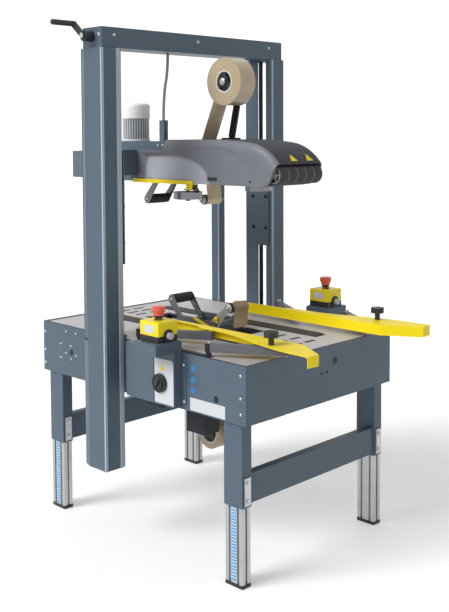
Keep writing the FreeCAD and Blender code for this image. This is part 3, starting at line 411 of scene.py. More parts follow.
scale_print, place = new_material("height_scale_print")
split = add_node(scale_print, "ShaderNodeSeparateXYZ", {}, {"Vector": (place, "Object")})
steps = add_node(scale_print, "ShaderNodeMath", {"operation": "MULTIPLY"}, {0: (split, 2), 1: 100.0})
part = add_node(scale_print, "ShaderNodeMath", {"operation": "FRACT"}, {0: (steps, 0)})
tick = add_node(scale_print, "ShaderNodeMath", {"operation": "LESS_THAN"}, {0: (part, 0), 1: 0.72})
print_colours = add_node(scale_print, "ShaderNodeMix", {"data_type": "RGBA"},
                         {0: (tick, 0), 6: linear("#E6E9EC"), 7: linear("#4A9DDE")})
finished_surface(scale_print, {"Base Color": (print_colours, 2), "Roughness": 0.45})
height_scales = new_shape()
for front_x in leg_fronts:
    block(height_scales, (front_x - 45, -361.9, 20), (front_x - 27, -361.3, 254))
finish("height_scales", height_scales, scale_print, "frame")

# Crank on the near end of the crossbeam: a moulded black arm with a round grip, held by a zinc
# plated screw and washer.
dress("crank", "crank_handle", [black_moulding], 1.2)
hub_screw = new_shape()
turned(hub_screw, [(0, 3), (5, 3), (6.5, 1.5), (9, 1.2), (9.5, 0.5), (9.5, -0.5), (0, -0.5)],
       (-110, -494.6, 1738), (0, -1, 0), 32)
finish("crank_hub_plate", hub_screw, zinc, "crank_handle")

# Head chassis, carriages and rear support: welded plate with the same blue grey coat, held with
# black screws, and one round steel pad under the nose. Two zinc screws hold the platform.
turned_steel = plated_metal("turned_steel", "#8A8B90", "#77787D", 0.34, (20.0, 20.0, 900.0))
pad_x, pad_y, pad_reach, pad_top = 275, -45, 46, 1232.5
dress("head_frame", "head", [blue_grey_coat, turned_steel], 0.8,
      (lambda centre, normal: centre.z < pad_top and abs(centre.x - pad_x) < pad_reach
       and abs(centre.y - pad_y) < pad_reach,))
head_screws = new_shape()
for side in (-1, 1):
    for x, z in ((-128, 1158), (-60, 1160), (-127, 1035), (-60, 1035)):
        screw(head_screws, (x, side * 363.9, z), (0, -side, 0), 8.0)
finish("head_screws", head_screws, black_oxide, "head")
platform_screws = new_shape()
for x in (-172, -146):
    screw(platform_screws, (x, -104, 1366), (0, -1, 0), 5.5)
finish("platform_screws", platform_screws, zinc, "head")

# Head covers: vacuum formed satin grey plastic of one colour, painted lighter on the side covers (a painted
# sheen) and darker on the top.
# The side covers have a broad round shoulder, a sunk panel, a scoop that runs out downwards with a painted
# highlight on its floor, and a black slot. The top ends over the front roller.
# Side and top are lit and shaded copies of one plastic: the side's lighter tone is a painted sheen.
side_plastic = plastic("grey_cover_plastic_with_painted_sheen", "#787A82", "#71737B", 0.42, 700.0, 0.03)
top_plastic = plastic("grey_cover_plastic_painted_darker_on_top", "#404146", "#3B3C41", 0.62, 700.0, 0.03)
for cover_material, level in ((side_plastic, 0.3), (top_plastic, 0.2)):
    cover_material.node_tree.nodes["Principled BSDF"].inputs["Specular IOR Level"].default_value = level
# The scoop's floor is painted lighter, a painted highlight, through a mask carried on the cover's vertices.
scoop_highlight_mask = add_node(side_plastic, "ShaderNodeAttribute", {"attribute_name": "scoop_highlight"}, {})
plain_tone = side_plastic.node_tree.nodes["Mix"]
scoop_painted_highlight = add_node(side_plastic, "ShaderNodeMix", {"data_type": "RGBA"},
                      {0: (scoop_highlight_mask, "Fac"), 6: (plain_tone, 2), 7: linear("#A9ABB4")})
cover_shader = side_plastic.node_tree.nodes["Principled BSDF"]
side_plastic.node_tree.links.new(scoop_painted_highlight.outputs[2], cover_shader.inputs["Base Color"])


def arc(a, b, c, steps):
    # Points of the circle from a to c through b.
    d = 2 * (a[0] * (b[1] - c[1]) + b[0] * (c[1] - a[1]) + c[0] * (a[1] - b[1]))
    squares = [p[0] ** 2 + p[1] ** 2 for p in (a, b, c)]
    u = (squares[0] * (b[1] - c[1]) + squares[1] * (c[1] - a[1]) + squares[2] * (a[1] - b[1])) / d
    v = (squares[0] * (c[0] - b[0]) + squares[1] * (a[0] - c[0]) + squares[2] * (b[0] - a[0])) / d
    radius = math.hypot(a[0] - u, a[1] - v)
    first = math.atan2(a[1] - v, a[0] - u)
    last = math.atan2(c[1] - v, c[0] - u)
    turns = [first + (last - first) * k / steps for k in range(steps + 1)]
    return [(u + radius * math.cos(t), v + radius * math.sin(t)) for t in turns]


def rounded_line(points, rounds=3):
    for _ in range(rounds):
        middle = []
        for (x0, z0), (x1, z1) in zip(points, points[1:]):
            middle += [(0.75 * x0 + 0.25 * x1, 0.75 * z0 + 0.25 * z1),
                       (0.25 * x0 + 0.75 * x1, 0.25 * z0 + 0.75 * z1)]
        points = [points[0]] + middle + [points[-1]]
    return points


def line_distance(x, z, points):
    best = 1e9
    for (x0, z0), (x1, z1) in zip(points, points[1:]):
        dx, dz = x1 - x0, z1 - z0
        along = max(0.0, min(1.0, ((x - x0) * dx + (z - z0) * dz) / max(dx * dx + dz * dz, 1e-9)))
        best = min(best, math.hypot(x - x0 - along * dx, z - z0 - along * dz))
    return best


def height_at(x, points):
    for (x0, z0), (x1, z1) in zip(points, points[1:]):
        if x0 <= x <= x1:
            return z0 + (z1 - z0) * (x - x0) / max(x1 - x0, 1e-9)
    return points[-1][1]


def ease(value):
    value = max(0.0, min(1.0, value))
    return value * value * (3 - 2 * value)


cover_rear, cover_low, low_top, high_top, step_front = -268, 1232, 1350, 1388, -120.6
cover_face, shoulder_round, shoulder_drop, inner_face, pocket_face = 124.0, 36, 17.5, 104.2, 114.2
panel_depth, scoop_depth, scoop_rear, scoop_front = 4.6, 15.0, -236, 118
roller_x, roller_z, pocket_radius = 400, 1272, 39.5
nose = arc((140, high_top), (220, 1385.5), (300, 1378), 8)
nose += arc((300, 1378), (367, 1356.7), (424, 1310), 16)[1:]
crest = [(cover_rear, low_top), (step_front - 0.8, low_top), (step_front, high_top)] + nose
underside = [(cover_rear, cover_low), (330, cover_low), (359, 1233), (384, 1240), (398, 1254),
             (408, 1276), (415, 1294), (424, 1309)]
crease = rounded_line([(cover_rear, 1344), (-127, 1344), (-26, 1364), (72, 1368), (165, 1366),
                       (226, 1358), (273, 1329), (302, 1304), (316, 1271), (318, 1231)])
rim = rounded_line([(scoop_rear, 1243), (scoop_rear, 1334), (-212, 1339), (-106, 1341), (-26, 1334),
                    (46, 1318), (84, 1296), (106, 1273), (scoop_front, 1243)])
columns = [cover_rear + 7.0 * k for k in range(21)] + [step_front - 0.8, step_front]
columns += [-116 + 7.2 * k for k in range(60)] + [316 + 3.6 * k for k in range(30)] + [423.4]
rows = 40
for side, node in ((-1, "near_side_cover"), (1, "far_side_cover")):
    cover = new_shape()
    scoop_highlight = cover.verts.layers.float.new("scoop_highlight")
    outside, inside = [], []
    for x in columns:
        low, high, top = height_at(x, underside), height_at(x, crest), height_at(max(x, step_front), crest)
        outer_line, inner_line = [], []
        for step in range(rows + 1):
            z = min(high, low + (top - low) * (1 - (1 - step / rows) ** 1.7))
            edge = line_distance(x, z, crest[2:])
            y = cover_face
            if edge < shoulder_round:
                y -= shoulder_drop * (1 - math.sqrt(1 - (1 - edge / shoulder_round) ** 2))
            if x < 320 and z < height_at(min(x, 315.9), crease):
                y -= panel_depth * ease(line_distance(x, z, crease) / 11)
            depth = 0.0
            if scoop_rear < x < scoop_front and z < height_at(x, rim):
                depth = ease(line_distance(x, z, rim) / 17)
                y -= scoop_depth * max(0.0, z - 1244) / 95 * depth
            pocket = math.hypot(x - roller_x, z - roller_z) < pocket_radius
            outer_line.append(cover.verts.new((x, side * y, z)))
            # Weight of the scoop's painted highlight at this point.
            outer_line[-1][scoop_highlight] = ease(depth * 1.6 - 0.6)
            inner_line.append(cover.verts.new((x, side * (pocket_face if pocket else inner_face), z)))
        outside.append(outer_line)
        inside.append(inner_line)
    for k in range(len(columns) - 1):
        for step in range(rows):
            here, beside = outside[k], outside[k + 1]
            cover.faces.new((here[step], beside[step], beside[step + 1], here[step + 1]))
            here, beside = inside[k], inside[k + 1]
            cover.faces.new((here[step], here[step + 1], beside[step + 1], beside[step]))
        cover.faces.new((outside[k][0], inside[k][0], inside[k + 1][0], outside[k + 1][0]))
        cover.faces.new((outside[k][rows], outside[k + 1][rows], inside[k + 1][rows], inside[k][rows]))
    for step in range(rows):
        cover.faces.new((outside[0][step], outside[0][step + 1], inside[0][step + 1], inside[0][step]))
        cover.faces.new((outside[-1][step], inside[-1][step], inside[-1][step + 1], outside[-1][step + 1]))
    bmesh.ops.remove_doubles(cover, verts=cover.verts, dist=0.01)
    bmesh.ops.recalc_face_normals(cover, faces=cover.faces)
    finish(node + "_moulding", cover, side_plastic, "head", 0.0, (node,))
slots = new_shape()
for side in (-1, 1):
    block(slots, (104, side * 119.5 - 1.6, 1246), (150, side * 119.5 + 1.6, 1258))
    screw(slots, (310, side * 123.2, 1249), (0, side, 0), 4.0)
finish("cover_slots", slots, black_moulding, "head", 0.3)
dress("top_cover", "head", [top_plastic], 1.0)

# Front roller: five bands of black rubber on a moulded grey drum with open, spoked ends, turning
# on a zinc plated pin between the side covers. Pale rings part the bands.
band_rubber = rubber("roller_band_rubber", "#2B2929", "#333130", 90.0, "Y")
drum_grey = plastic("grey_drum_moulding", "#9A9B9F", "#8F9094", 0.45)
bands, band_pitch, drum_radius = 5, 43.2, 28.3
roller_end = (roller_x, -bands * band_pitch / 2, roller_z)
band_starts = [(roller_x, -bands * band_pitch / 2 + band_pitch * band, roller_z) for band in range(bands)]
roller_bands = new_shape()
for start in band_starts:
    turned(roller_bands, [(drum_radius, 1.2), (31.6, 1.2), (33.0, 2.0), (33.4, 3.4), (33.4, 39.8),
                          (33.0, 41.2), (31.6, 42), (drum_radius, 42)], start, (0, 1, 0), 64)
finish("front_roller_bands", roller_bands, band_rubber, "carton_front_roller", 0,
       ("front_roller",))
roller_drum = new_shape()
turned(roller_drum, [(25.5, 1), (drum_radius, 1), (drum_radius, 215), (25.5, 215), (25.5, 1)],
       roller_end, (0, 1, 0), 64)
for start in band_starts[1:]:
    turned(roller_drum, [(28.2, -1.1), (32.4, -1.1), (32.4, 1.1), (28.2, 1.1)], start, (0, 1, 0), 64)
turned(roller_drum, [(8.1, 2), (13, 2), (13, 214), (8.1, 214), (8.1, 2)], roller_end, (0, 1, 0), 32)
for side in (-1, 1):
    for fifth in range(5):
        verts = block(roller_drum, (roller_x + 12, side * 102 - 4, roller_z - 1.4),
                      (roller_x + 26, side * 102 + 4, roller_z + 1.4))
        turn = Matrix.Rotation(fifth * math.tau / 5, 3, "Y")
        bmesh.ops.rotate(roller_drum, verts=verts, cent=(roller_x, 0, roller_z), matrix=turn)
finish("front_roller_drum", roller_drum, drum_grey, "carton_front_roller", 0.3)
dress("front_roller_pin", "head", [zinc], 0.5)

# Head motor: die cast, silver lacquered, with upright cooling fins on a foot flange, and painted shade
# between the fins, a dark sleeve behind them, under a smooth pressed cap. The belt motor below is enamelled
# dark grey.
cast_alloy = powder_coat("silver_lacquer_on_casting", "#F1F2F3", "#E8E9EA", 0.5)
cap_alloy = powder_coat("silver_lacquer_on_cap", "#FCFCFC", "#F6F7F7", 0.4)
motor_enamel = powder_coat("dark_motor_enamel", "#35383D", "#2E3136", 0.4)
fin_gap_painted_shade = powder_coat("painted_shade_between_fins", "#85878C", "#797B80", 0.55)
motor_foot, fins = (-366, -44, 1381), 32
motor = new_shape()
turned(motor, [(0, 0.2), (53, 0.2), (54, 1.2), (54, 7.3), (53, 8.3), (47, 8.3), (47, 87), (0, 87)],
       motor_foot, (0, 0, 1), 64)
for step in range(fins):
    verts = block(motor, (-320, -45.3, 1389), (-314.5, -42.7, 1467))
    turn = Matrix.Rotation(step * math.tau / fins, 3, "Z")
    bmesh.ops.rotate(motor, verts=verts, cent=motor_foot, matrix=turn)
finish("head_motor_body", motor, cast_alloy, "head", 0.3, ("head_motor",))
# Painted shade: a dark sleeve round the core, between the fins.
fin_gap_shade = new_shape()
turned(fin_gap_shade, [(46, 8.4), (47.4, 8.4), (47.4, 86.5), (46, 86.5), (46, 8.4)], motor_foot, (0, 0, 1), 64)
finish("head_motor_fin_gap_shade", fin_gap_shade, fin_gap_painted_shade, "head")
motor_cap = new_shape()
cap_round = 16
shoulder = [(39 + cap_round * math.sin(math.radians(a)), 130 + cap_round * math.cos(math.radians(a)))
            for a in range(0, 91, 10)]
turned(motor_cap, [(0, 145.9)] + shoulder + [(55, 88), (54, 86.6), (0, 86.6)], motor_foot, (0, 0, 1), 64)
finish("head_motor_cap", motor_cap, cap_alloy, "head")
dress("drive_motor", "frame", [motor_enamel], 1.5)

# Tape units: laser cut plates with a dark plated finish, steel pins and washers, and black rubber
# rollers. Brown tape lies over both front rollers.
gunmetal = plated_metal("dark_plated_plate", "#7B7D82", "#64666B", 0.42)
bright_plate = plated_metal("zinc_plated_plate", "#C4C5C8", "#AEB0B3", 0.4)
roller_rubber = rubber("tape_roller_rubber", "#2C2A29", "#242221", 150.0, "Y")
white_nylon = plastic("white_nylon_ring", "#E9E9E8", "#DFDFDE", 0.5)
upper_roller, lower_roller = (3, 1171), (128, 790)
for unit, body in (("upper", "head"), ("lower", "frame")):
    dress(unit + "_unit_frame", body, [gunmetal], 0.5)
    for task, place in (("_apply", "_front"), ("_buff", "_rear")):
        dress(unit + task + "_arm", unit + place + "_arm", [gunmetal], 0.5)
        dress(unit + task + "_roller", unit + place + "_wheel", [roller_rubber], 0.8)


def cheek_end(centre, radius, heading, first, last):
    # One rounded end of a cheek plate, in X and Z.
    turns = [heading + math.radians(a) for a in range(first, last, 15)]
    return [(centre[0] + radius * math.cos(t), centre[1] + radius * math.sin(t)) for t in turns]


for body, metal, pivot, roller, wide, narrow, reach in (
        ("upper_front_arm", gunmetal, (-62, 1240), upper_roller, 11, 10.5, 13),
        ("upper_rear_arm", gunmetal, (-235, 1240), (-296, 1161), 11, 17.5, 9),
        ("lower_front_arm", bright_plate, (63, 723), lower_roller, 20, 10.5, 13),
        ("lower_rear_arm", gunmetal, (-102, 711), (-163, 790), 11, 17.5, 9)):
    washers = new_shape()
    for side in (-1, 1):
        turned(washers, [(0, 4.5), (3.5, 4.5), (4.5, 3.8), (4.5, 1.6), (reach - 1, 1.6), (reach, 0.9),
                         (reach, -0.3), (0, -0.3)], (roller[0], side * 49, roller[1]), (0, side, 0), 32)
    finish(body + "_washers", washers, zinc, body)
    heading = math.atan2(roller[1] - pivot[1], roller[0] - pivot[0])
    outline = cheek_end(pivot, wide, heading, 90, 271) + cheek_end(roller, narrow, heading, -90, 91)
    cheeks = new_shape()
    for y0, y1 in ((-50.8, -49.1), (49.1, 50.8)):
        slab(cheeks, outline, y0, y1)
    finish(body + "_cheeks", cheeks, metal, body, 0.3)
for body, (x, z) in (("upper_front_wheel", upper_roller), ("lower_front_wheel", lower_roller)):
    rings = new_shape()
    for side in (-1, 1):
        turned(rings, [(10.6, 0.85), (16.2, 0.85), (16.2, 0), (10.6, 0), (10.6, 0.85)],
               (x, side * 44, z), (0, side, 0), 48)
    finish(body + "_end_rings", rings, white_nylon, body)

# Tape rolls: brown polypropylene packing tape wound on a white cardboard core, on a dark
# three lobed hub. The film is glossy, and the sides show fine winding rings.


def wound_tape(name, x, z):
    tape, place = new_material(name)
    centre = add_node(tape, "ShaderNodeMapping", {}, {"Vector": (place, "Object"), "Location": (-x, 0, -z)})
    rings = add_node(tape, "ShaderNodeTexWave", {"wave_type": "RINGS", "rings_direction": "Y"},
                     {"Vector": (centre, 0), "Scale": 160.0, "Distortion": 0.4})
    colours = add_node(tape, "ShaderNodeMix", {"data_type": "RGBA"},
                       {0: (rings, 1), 6: linear("#C4B295"), 7: linear("#AB9876")})
    return finished_surface(tape, {"Base Color": (colours, 2), "Roughness": 0.3, "Coat Weight": 0.4})


cardboard = plastic("white_cardboard_core", "#F0EEE9", "#E6E3DC", 0.8, 300.0, 0.2)
core_radius, core_bore, tape_half, core_half = 38.6, 35.1, 37.5, 37.2
upper_roll_centre = (104, 1592)
for node, body, (x, z), radius in (("upper_tape_roll", "upper_roll", upper_roll_centre, 84),
                                   ("lower_tape_roll", "lower_roll", (20, 318), 60)):
    tape = wound_tape("wound_brown_tape_" + body, x / 1000, z / 1000)
    winding = new_shape()
    turned(winding, [(core_radius, -tape_half), (radius - 1, -tape_half), (radius, -36.6), (radius, 36.6),
                     (radius - 1, tape_half), (core_radius, tape_half), (core_radius, -tape_half)],
           (x, 0, z), (0, 1, 0), 96)
    finish(node + "_tape", winding, tape, body, 0.0, (node,))
    core = new_shape()
    turned(core, [(core_bore, -core_half), (core_radius, -core_half), (core_radius, core_half),
                  (core_bore, core_half), (core_bore, -core_half)], (x, 0, z), (0, 1, 0), 64)
    finish(node + "_core", core, cardboard, body)
    lobes = new_shape()
    for side in (-1, 1):
        for third in range(3):
            verts = block(lobes, (-9, side * 34 - 3, 12), (9, side * 34 + 3, 34.5))
            turn = Matrix.Rotation(third * math.tau / 3, 3, "Y")
            bmesh.ops.rotate(lobes, verts=verts, cent=(0, 0, 0), matrix=turn)
        turned(lobes, [(8.1, 0), (19, 0), (20, 1.5), (20, 5), (8.1, 5)],
               (0, side * 32.5, 0), (0, side, 0), 32)
    turned(lobes, [(8.1, -29), (35, -29), (35, 29), (8.1, 29), (8.1, -29)], (0, 0, 0), (0, 1, 0), 48)
    bmesh.ops.translate(lobes, vec=(x, 0, z), verts=lobes.verts)
    finish(node + "_hub", lobes, black_moulding, body, 1.0)

# Loose tape: the free run from the roll into the cover, round the upper roller and up into its
# unit, and the torn end that hangs over the lower roller in shallow creases. Its brown is painted lighter
# than the roll's, painted light against the shade it lies in.
# A lighter copy of the tape's brown: painted light.
strip_tape = plastic("loose_brown_tape_painted_lighter", "#DECBA8", "#C5B091", 0.3, 160.0, 0.35, 0.2)
dress("tape_strip", "head", [strip_tape], 0.0)
wrap_x, wrap_z = upper_roller
roller_wrap = new_shape()
turned(roller_wrap, [(18.0, 0), (18.35, 0), (18.35, 74), (18.0, 74)], (wrap_x, -37, wrap_z), (0, 1, 0), 48)
finish("tape_round_upper_roller", roller_wrap, strip_tape, "upper_front_wheel")
tape_sheet = new_shape()
wave = [(21.4 - 8.0 * math.sin(k * math.pi / 14), wrap_z + 8.4 * k) for k in range(8)]
edge_rows = [[tape_sheet.verts.new((x + shift, y, z)) for x, z in wave]
             for y, shift in ((-36, 0), (36, 0), (36, -0.4), (-36, -0.4))]
for row, beside in zip(edge_rows, edge_rows[1:] + edge_rows[:1]):
    for k in range(len(wave) - 1):
        tape_sheet.faces.new((row[k], row[k + 1], beside[k + 1], beside[k]))
for end in (0, -1):
    tape_sheet.faces.new([row[end] for row in edge_rows])
bmesh.ops.recalc_face_normals(tape_sheet, faces=tape_sheet.faces)
finish("tape_into_upper_unit", tape_sheet, strip_tape, "upper_front_arm")
tape_end = new_shape()
wrap_x, wrap_z = lower_roller
over_roller = [math.radians(a) for a in range(120, -1, -12)]
line = [(wrap_x + 18.4 * math.cos(t), wrap_z + 18.4 * math.sin(t)) for t in over_roller]
line += [(145.2 - 0.5 * k + 1.5 * math.sin(k * 1.9), wrap_z - 6.5 * k) for k in range(1, 12)]
rows = [[tape_end.verts.new((x, y, z)) for x, z in line] for y in (-30, -12, 6, 24, 42)]
for row, beside in zip(rows, rows[1:]):
    for k in range(len(line) - 1):
        tape_end.faces.new((row[k], row[k + 1], beside[k + 1], beside[k]))
for number, row in enumerate(rows):
    for k, vert in enumerate(row[len(over_roller):]):
        vert.co.x += 1.6 * math.sin(number * 2.3 + k * 0.8) * k / 11
bmesh.ops.solidify(tape_end, geom=tape_end.faces[:], thickness=0.3)
bmesh.ops.recalc_face_normals(tape_end, faces=tape_end.faces)
finish("tape_over_lower_roller", tape_end, strip_tape, "lower_front_arm")

# Arm of the upper roll: blackened flat steel that rises from the head, with a zinc plated nut on
# the hub of the roll.
dress("roll_arm", "head", [black_oxide], 1.2)
hub_nut = new_shape()
turned(hub_nut, [(0, 6), (7, 6), (10, 4.5), (10, 1), (13, 1), (13, -0.3), (0, -0.3)],
       (upper_roll_centre[0], -42.5, upper_roll_centre[1]), (0, -1, 0), 32)
finish("tape_hub_nut", hub_nut, zinc, "head")

# Yellow guard strips: folded sheet with a gloss powder coat, one under the near side cover and
# one beside the lower tape unit. The compression disc beside them is turned steel.
yellow_coat = powder_coat("yellow_powder_coat", "#FCE30A", "#F7DC08", 0.42)
dress("yellow_guard", "head", [yellow_coat], 0.4)
guard_fold = new_shape()
block(guard_fold, (-290, -126.6, 1231), (36, -124.4, 1243))
block(guard_fold, (-290, -126.6, 1229.2), (36, -121, 1231.2))
finish("yellow_guard_fold", guard_fold, yellow_coat, "head", 0.4)
dress("side_disc", "compression_disc", [turned_steel], 1.5)
lower_guard = new_shape()
verts = block(lower_guard, (-35, -59.2, -5), (82, -56.2, 5))
guard_slope = Matrix.Rotation(math.radians(17), 3, "Y")
bmesh.ops.rotate(lower_guard, verts=verts, cent=(0, 0, 0), matrix=guard_slope)
bmesh.ops.translate(lower_guard, vec=(0, 0, 727), verts=verts)
block(lower_guard, (74, -56, 733), (83, -53, 750))
turned(lower_guard, [(0, 9), (6, 9), (7.5, 7.5), (8, 4), (7, 0), (0, 0)], (79, -53, 748), (0, -1, 0), 24)
finish("lower_unit_guard", lower_guard, yellow_coat, "frame", 0.4)

# Side guides: folded sheet steel with a bright yellow coat, on dark grey swing arms with plated
# bolts and washers, on blackened posts. Each has a black lobed knob over a plated clamping bolt.
arm_coat = powder_coat("dark_grey_arm_coat", "#6C6E73", "#63656A", 0.45)
pivot_y, arm_top, arm_along, arm_across = 358, 750, 212, 129
for side, sign in (("far", 1), ("near", -1)):
    dress(side + "_guide", side + "_rail", [yellow_coat], 0.6)
    for node, body, x in (("_front_guide_arm", "_arm_front", 348), ("_rear_guide_arm", "_arm_rear", 14)):
        dress(side + node, side + body, [arm_coat], 0.8)
        bolts = new_shape()
        for along, across in ((0, 0), (arm_along, arm_across)):
            turned(bolts, [(5.2, 0), (10.5, 0), (10.5, 1.6), (5.2, 1.6), (5.2, 0)],
                   (x + along, sign * (pivot_y - across), arm_top), (0, 0, 1), 32)
        turned(bolts, [(0, 8.5), (4, 8.5), (6.5, 7.4), (6.5, 1.6), (0, 1.6)],
               (x, sign * pivot_y, arm_top), (0, 0, 1), 6)
        finish(side + body + "_bolts", bolts, zinc, side + body)
        sleeve = new_shape()
        turned(sleeve, [(11.2, -1), (11.8, -1), (12.6, 0), (12.6, 28), (11.8, 28.8), (11.2, 28.8),
                        (11.2, -1)], (x, sign * pivot_y, arm_top - 28), (0, 0, 1), 32)
        finish(side + body + "_sleeve", sleeve, black_oxide, side + body)
    clamp_bolt = new_shape()
    turned(clamp_bolt, [(0, 0), (9, 0), (9, 5.7), (0, 5.7)], (540, sign * 276.9, 751.8), (0, 0, 1), 6)
    finish(side + "_clamp_bolt", clamp_bolt, zinc, side + "_rail", 0.3)
    dress(side + "_knob", side + "_clamp", [black_moulding], 1.5)
dress("guide_posts", "frame", [black_oxide], 0.6)

# Control cabinet on the near side: folded and coated like the bed, screwed on by a side flange,
# with a blank pale front plate and a black rotary main switch.
switch_x, switch_z, cabinet_face = 178, 602, -412.3
dress("control_cabinet", "frame", [blue_grey_coat], 1.0)
dress("far_stop_bracket", "frame", [blue_grey_coat], 1.0)
main_switch = new_shape()
turned(main_switch, [(0, 0), (30.5, 0), (31, 0.6), (31, 8.5), (29.8, 10), (26.5, 10.4), (25.2, 8.4),
                     (22, 8.4), (21, 12.8), (19, 14), (0, 14)],
       (switch_x, cabinet_face - 0.3, switch_z), (0, -1, 0), 64)
grip = block(main_switch, (switch_x - 4, -433, switch_z - 19), (switch_x + 4, -425, switch_z + 19))
grip_turn = Matrix.Rotation(math.radians(35), 3, "Y")
bmesh.ops.rotate(main_switch, verts=grip, cent=(switch_x, 0, switch_z), matrix=grip_turn)
finish("main_switch_knob", main_switch, black_moulding, "switch_knob", 1.0, ("main_switch",))
switch_ring = new_shape()
turned(switch_ring, [(31.4, 0), (34.5, 0), (34.5, 0.9), (31.4, 1.2), (31.4, 0)],
       (switch_x, cabinet_face, switch_z), (0, -1, 0), 64)
finish("main_switch_ring", switch_ring, zinc, "frame")
flange = new_shape()
block(flange, (242.5, -378, 534), (263, -375.5, 690))
finish("cabinet_flange", flange, blue_grey_coat, "frame", 0.6)
front_plate = new_shape()
plate_left, plate_right, plate_low, plate_high, plate_round = 150, 241, 536, 682, 12
corner = [(plate_right - plate_round + plate_round * math.sin(math.radians(a)),
           plate_high - plate_round + plate_round * math.cos(math.radians(a))) for a in range(0, 91, 15)]
slab(front_plate, [(plate_left, plate_low), (plate_left, plate_high)] + corner + [(plate_right, plate_low)],
     cabinet_face, -411.5)
finish("cabinet_front_plate", front_plate, pale_foil, "frame", 0.1)

# Blank yellow triangles of printed foil, stuck flat: one on the front plate, and two that follow
# the slope of the top cover.
yellow_foil = plastic("yellow_printed_foil", "#EFD32A", "#E8CB24", 0.45)
plate_triangle = new_shape()
slab(plate_triangle, [(176, 645), (200, 645), (188, 667)], -412.7, -412.2)
finish("blank_plate_triangle", plate_triangle, yellow_foil, "frame")
nose_triangles = new_shape()
slope = arc((396, 1339), (408, 1328.2), (419, 1316.9), 4)
for middle in (-24, 57):
    for lift in (0.2, 0.8):
        line = [(x + 0.7 * lift, z + 0.7 * lift) for x, z in slope]
        for k in range(4):
            a, b = 17 * k / 4, 17 * (k + 1) / 4
            (x0, z0), (x1, z1) = line[k], line[k + 1]
            quad = ((x0, middle - a, z0), (x1, middle - b, z1), (x1, middle + b, z1), (x0, middle + a, z0))
            nose_triangles.faces.new([nose_triangles.verts.new(point) for point in quad])
bmesh.ops.remove_doubles(nose_triangles, verts=nose_triangles.verts, dist=0.01)
bmesh.ops.recalc_face_normals(nose_triangles, faces=nose_triangles.faces)
finish("blank_nose_triangles", nose_triangles, yellow_foil, "head")

# Emergency stops: a black moulded base, a yellow lid with a blank pale label, a round black cable
# entry with a pale gland, and a red mushroom button on a black collar.
stop_yellow = plastic("yellow_polycarbonate", "#FCE50F", "#F5DD0C", 0.4, 900.0, 0.04, 0.0)
stop_red = plastic("red_polycarbonate", "#E8604C", "#DD5643", 0.36, 900.0, 0.03, 0.1)
gland_grey = plastic("pale_grey_polyamide", "#C6C9CC", "#BCBFC3", 0.5)
dress("stop_boxes", "frame", [stop_yellow, black_moulding, gland_grey], 0.6,
      (lambda centre, normal: centre.z < 768.5 or centre.x > 235.3 or centre.z > 813.4,
       lambda centre, normal: centre.x > 239.5))
for side, hand in ((-1, "near"), (1, "far")):
    collar = (190, side * 428, 823)
    body = hand + "_button"
    cap = new_shape()
    turned(cap, [(0, 5), (16.6, 5), (17.4, 6), (17.9, 14), (19, 15.2), (21.6, 19.5), (22, 21.5), (22, 29.5),
                 (21.2, 32.4), (19, 33.8), (8, 34), (0, 34)], collar, (0, 0, 1), 48)
    finish(body + "_mushroom", cap, stop_red, body, 0.0, (hand + "_stop_button",))
    neck = new_shape()
    turned(neck, [(0, -4), (13.6, -4), (14.2, -3), (14.2, 5), (0, 5)], collar, (0, 0, 1), 48)
    finish(body + "_neck", neck, black_moulding, body)
stop_labels = new_shape()
for y in (-470.2, 385.8):
    block(stop_labels, (167, y - 0.1, 777), (214, y + 0.3, 802))
finish("blank_stop_labels", stop_labels, pale_foil, "frame")

# Cable from the crossbeam down to the post on the head: a grey plastic covered steel conduit,
# fixed at both ends.
conduit_grey = plastic("grey_conduit_cover", "#8D9196", "#7F8388", 0.3, 500.0, 0.1, 0.3)
route = bpy.data.curves.new("conduit_line", "CURVE")
route.dimensions = "3D"
route.resolution_u = 24
spline = route.splines.new("NURBS")
corners = [(-0.124, -0.095, 1.699), (-0.124, -0.095, 1.640), (-0.155, -0.090, 1.545),
           (-0.155, -0.090, 1.459)]
spline.points.add(len(corners) - 1)
for point, corner in zip(spline.points, corners):
    point.co = (*corner, 1.0)
spline.order_u = 3
spline.use_endpoint_u = True
line_object = bpy.data.objects.new("conduit_line", route)
plain_line = bpy.data.meshes.new_from_object(line_object)
conduit_diameter = 0.011
route.bevel_depth = conduit_diameter / 2
route.bevel_resolution = 6
conduit_mesh = bpy.data.meshes.new_from_object(line_object)
bpy.data.objects.remove(line_object)
bpy.data.meshes.remove(plain_line)
conduit = place_piece("head_conduit", conduit_mesh, [conduit_grey], None, 0.0, 60.0,
                      ("head_cable",))
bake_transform(conduit)

# Floor and backdrop: one pale sweep of paper. The camera sees it a little brighter than it
# is lit, so that it reads as white and still keeps the soft shadow.


def seen_directly(owner):
    # One for rays from the camera, also by way of a mirror or through glass, and else nought.
    path = add_node(owner, "ShaderNodeLightPath", {}, {})
    seen = add_node(owner, "ShaderNodeMath", {"operation": "MAXIMUM"},
                    {0: (path, "Is Camera Ray"), 1: (path, "Is Glossy Ray")})
    return add_node(owner, "ShaderNodeMath", {"operation": "MAXIMUM"},
                    {0: (seen, 0), 1: (path, "Is Transmission Ray")})


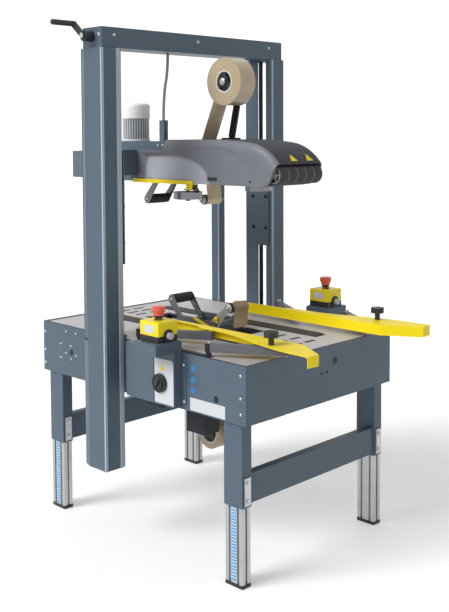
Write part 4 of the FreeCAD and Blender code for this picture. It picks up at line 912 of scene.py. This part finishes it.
paper, place = new_material("pale_studio_paper")
lift = add_node(paper, "ShaderNodeMath", {"operation": "MULTIPLY"}, {0: (seen_directly(paper), 0), 1: 0.25})
paper_tone = cloudy(paper, place, 3.0, 2.0, "#F4F4F3", "#F1F1F0")[1]
finished_surface(paper, {"Base Color": (paper_tone, 2), "Roughness": 0.9,
                         "Emission Color": (1, 1, 1, 1), "Emission Strength": (lift, 0)})
sweep = new_shape()
profile = [(0, -9, 0), (0, 7, 0)]
profile += [(0, 7 + 4 * math.sin(math.radians(a)), 4 - 4 * math.cos(math.radians(a)))
            for a in range(6, 91, 6)]
profile += [(0, 11, 16)]
points = [sweep.verts.new(point) for point in profile]
edges = [sweep.edges.new(pair) for pair in zip(points, points[1:])]
grown = bmesh.ops.extrude_edge_only(sweep, edges=edges)["geom"]
bmesh.ops.translate(sweep, vec=(30, 0, 0), verts=[v for v in grown if isinstance(v, bmesh.types.BMVert)])
bmesh.ops.translate(sweep, vec=(-15, 0, -0.0002), verts=sweep.verts)
sweep_turn = Matrix.Rotation(math.radians(44.8), 3, "Z")
bmesh.ops.rotate(sweep, verts=sweep.verts, cent=(0, 0, 0), matrix=sweep_turn)
bmesh.ops.recalc_face_normals(sweep, faces=sweep.faces)
sweep_mesh = bpy.data.meshes.new("paper_sweep")
sweep.to_mesh(sweep_mesh)
sweep.free()
sweep_mesh.shade_smooth()
sweep_mesh.materials.append(paper)
backdrop = bpy.data.objects.new("paper_sweep", sweep_mesh)
bpy.context.scene.collection.objects.link(backdrop)

# Light: a soft even room and one broad lamp from the left and above, near the camera. The room
# is brighter for the camera and in reflections than it is as a light.
world = bpy.data.worlds.new("soft_room")
bpy.context.scene.world = world
world.use_nodes = True
world.node_tree.nodes.clear()
strength = add_node(world, "ShaderNodeMapRange", {}, {0: (seen_directly(world), 0), 3: 0.42, 4: 1.0})
sky = add_node(world, "ShaderNodeBackground", {}, {"Color": (1, 1, 1, 1), "Strength": (strength, 0)})
add_node(world, "ShaderNodeOutputWorld", {}, {"Surface": (sky, 0)})

lamp = bpy.data.lights.new("key_lamp", "SUN")
lamp.energy = 2.35
lamp.angle = math.radians(30)
lamp_object = bpy.data.objects.new("key_lamp", lamp)
lamp_object.rotation_mode = "QUATERNION"
lamp_object.rotation_quaternion = Vector((0.25, 0.75, -0.62)).to_track_quat("-Z", "Y")
bpy.context.scene.collection.objects.link(lamp_object)

# Camera: the photograph's view, a little above the middle of the head, from the near infeed
# corner, fitted to points of the object.
camera_data = bpy.data.cameras.new("camera")
focal_pixels, picture_height, sensor = 962.18, 612, 36
camera_data.lens = focal_pixels / picture_height * sensor
camera_data.shift_x = 0.0066
camera_data.shift_y = -0.1895
camera_data.clip_end = 60
camera = bpy.data.objects.new("camera", camera_data)
bpy.context.scene.collection.objects.link(camera)
yaw, pitch, roll = 2.3526, 0.0595, -0.0051
forward = Vector((math.cos(yaw) * math.cos(pitch), math.sin(yaw) * math.cos(pitch), -math.sin(pitch)))
level = Vector((math.sin(yaw), -math.cos(yaw), 0))
upright = level.cross(forward)
right = level * math.cos(roll) + upright * math.sin(roll)
up = upright * math.cos(roll) - level * math.sin(roll)
turn = Matrix((right, up, -forward)).transposed()
camera.matrix_world = Matrix.Translation((2.4909, -2.4600, 1.4122)) @ turn.to_4x4()
bpy.context.scene.camera = camera
bpy.context.scene.view_settings.view_transform = "Standard"
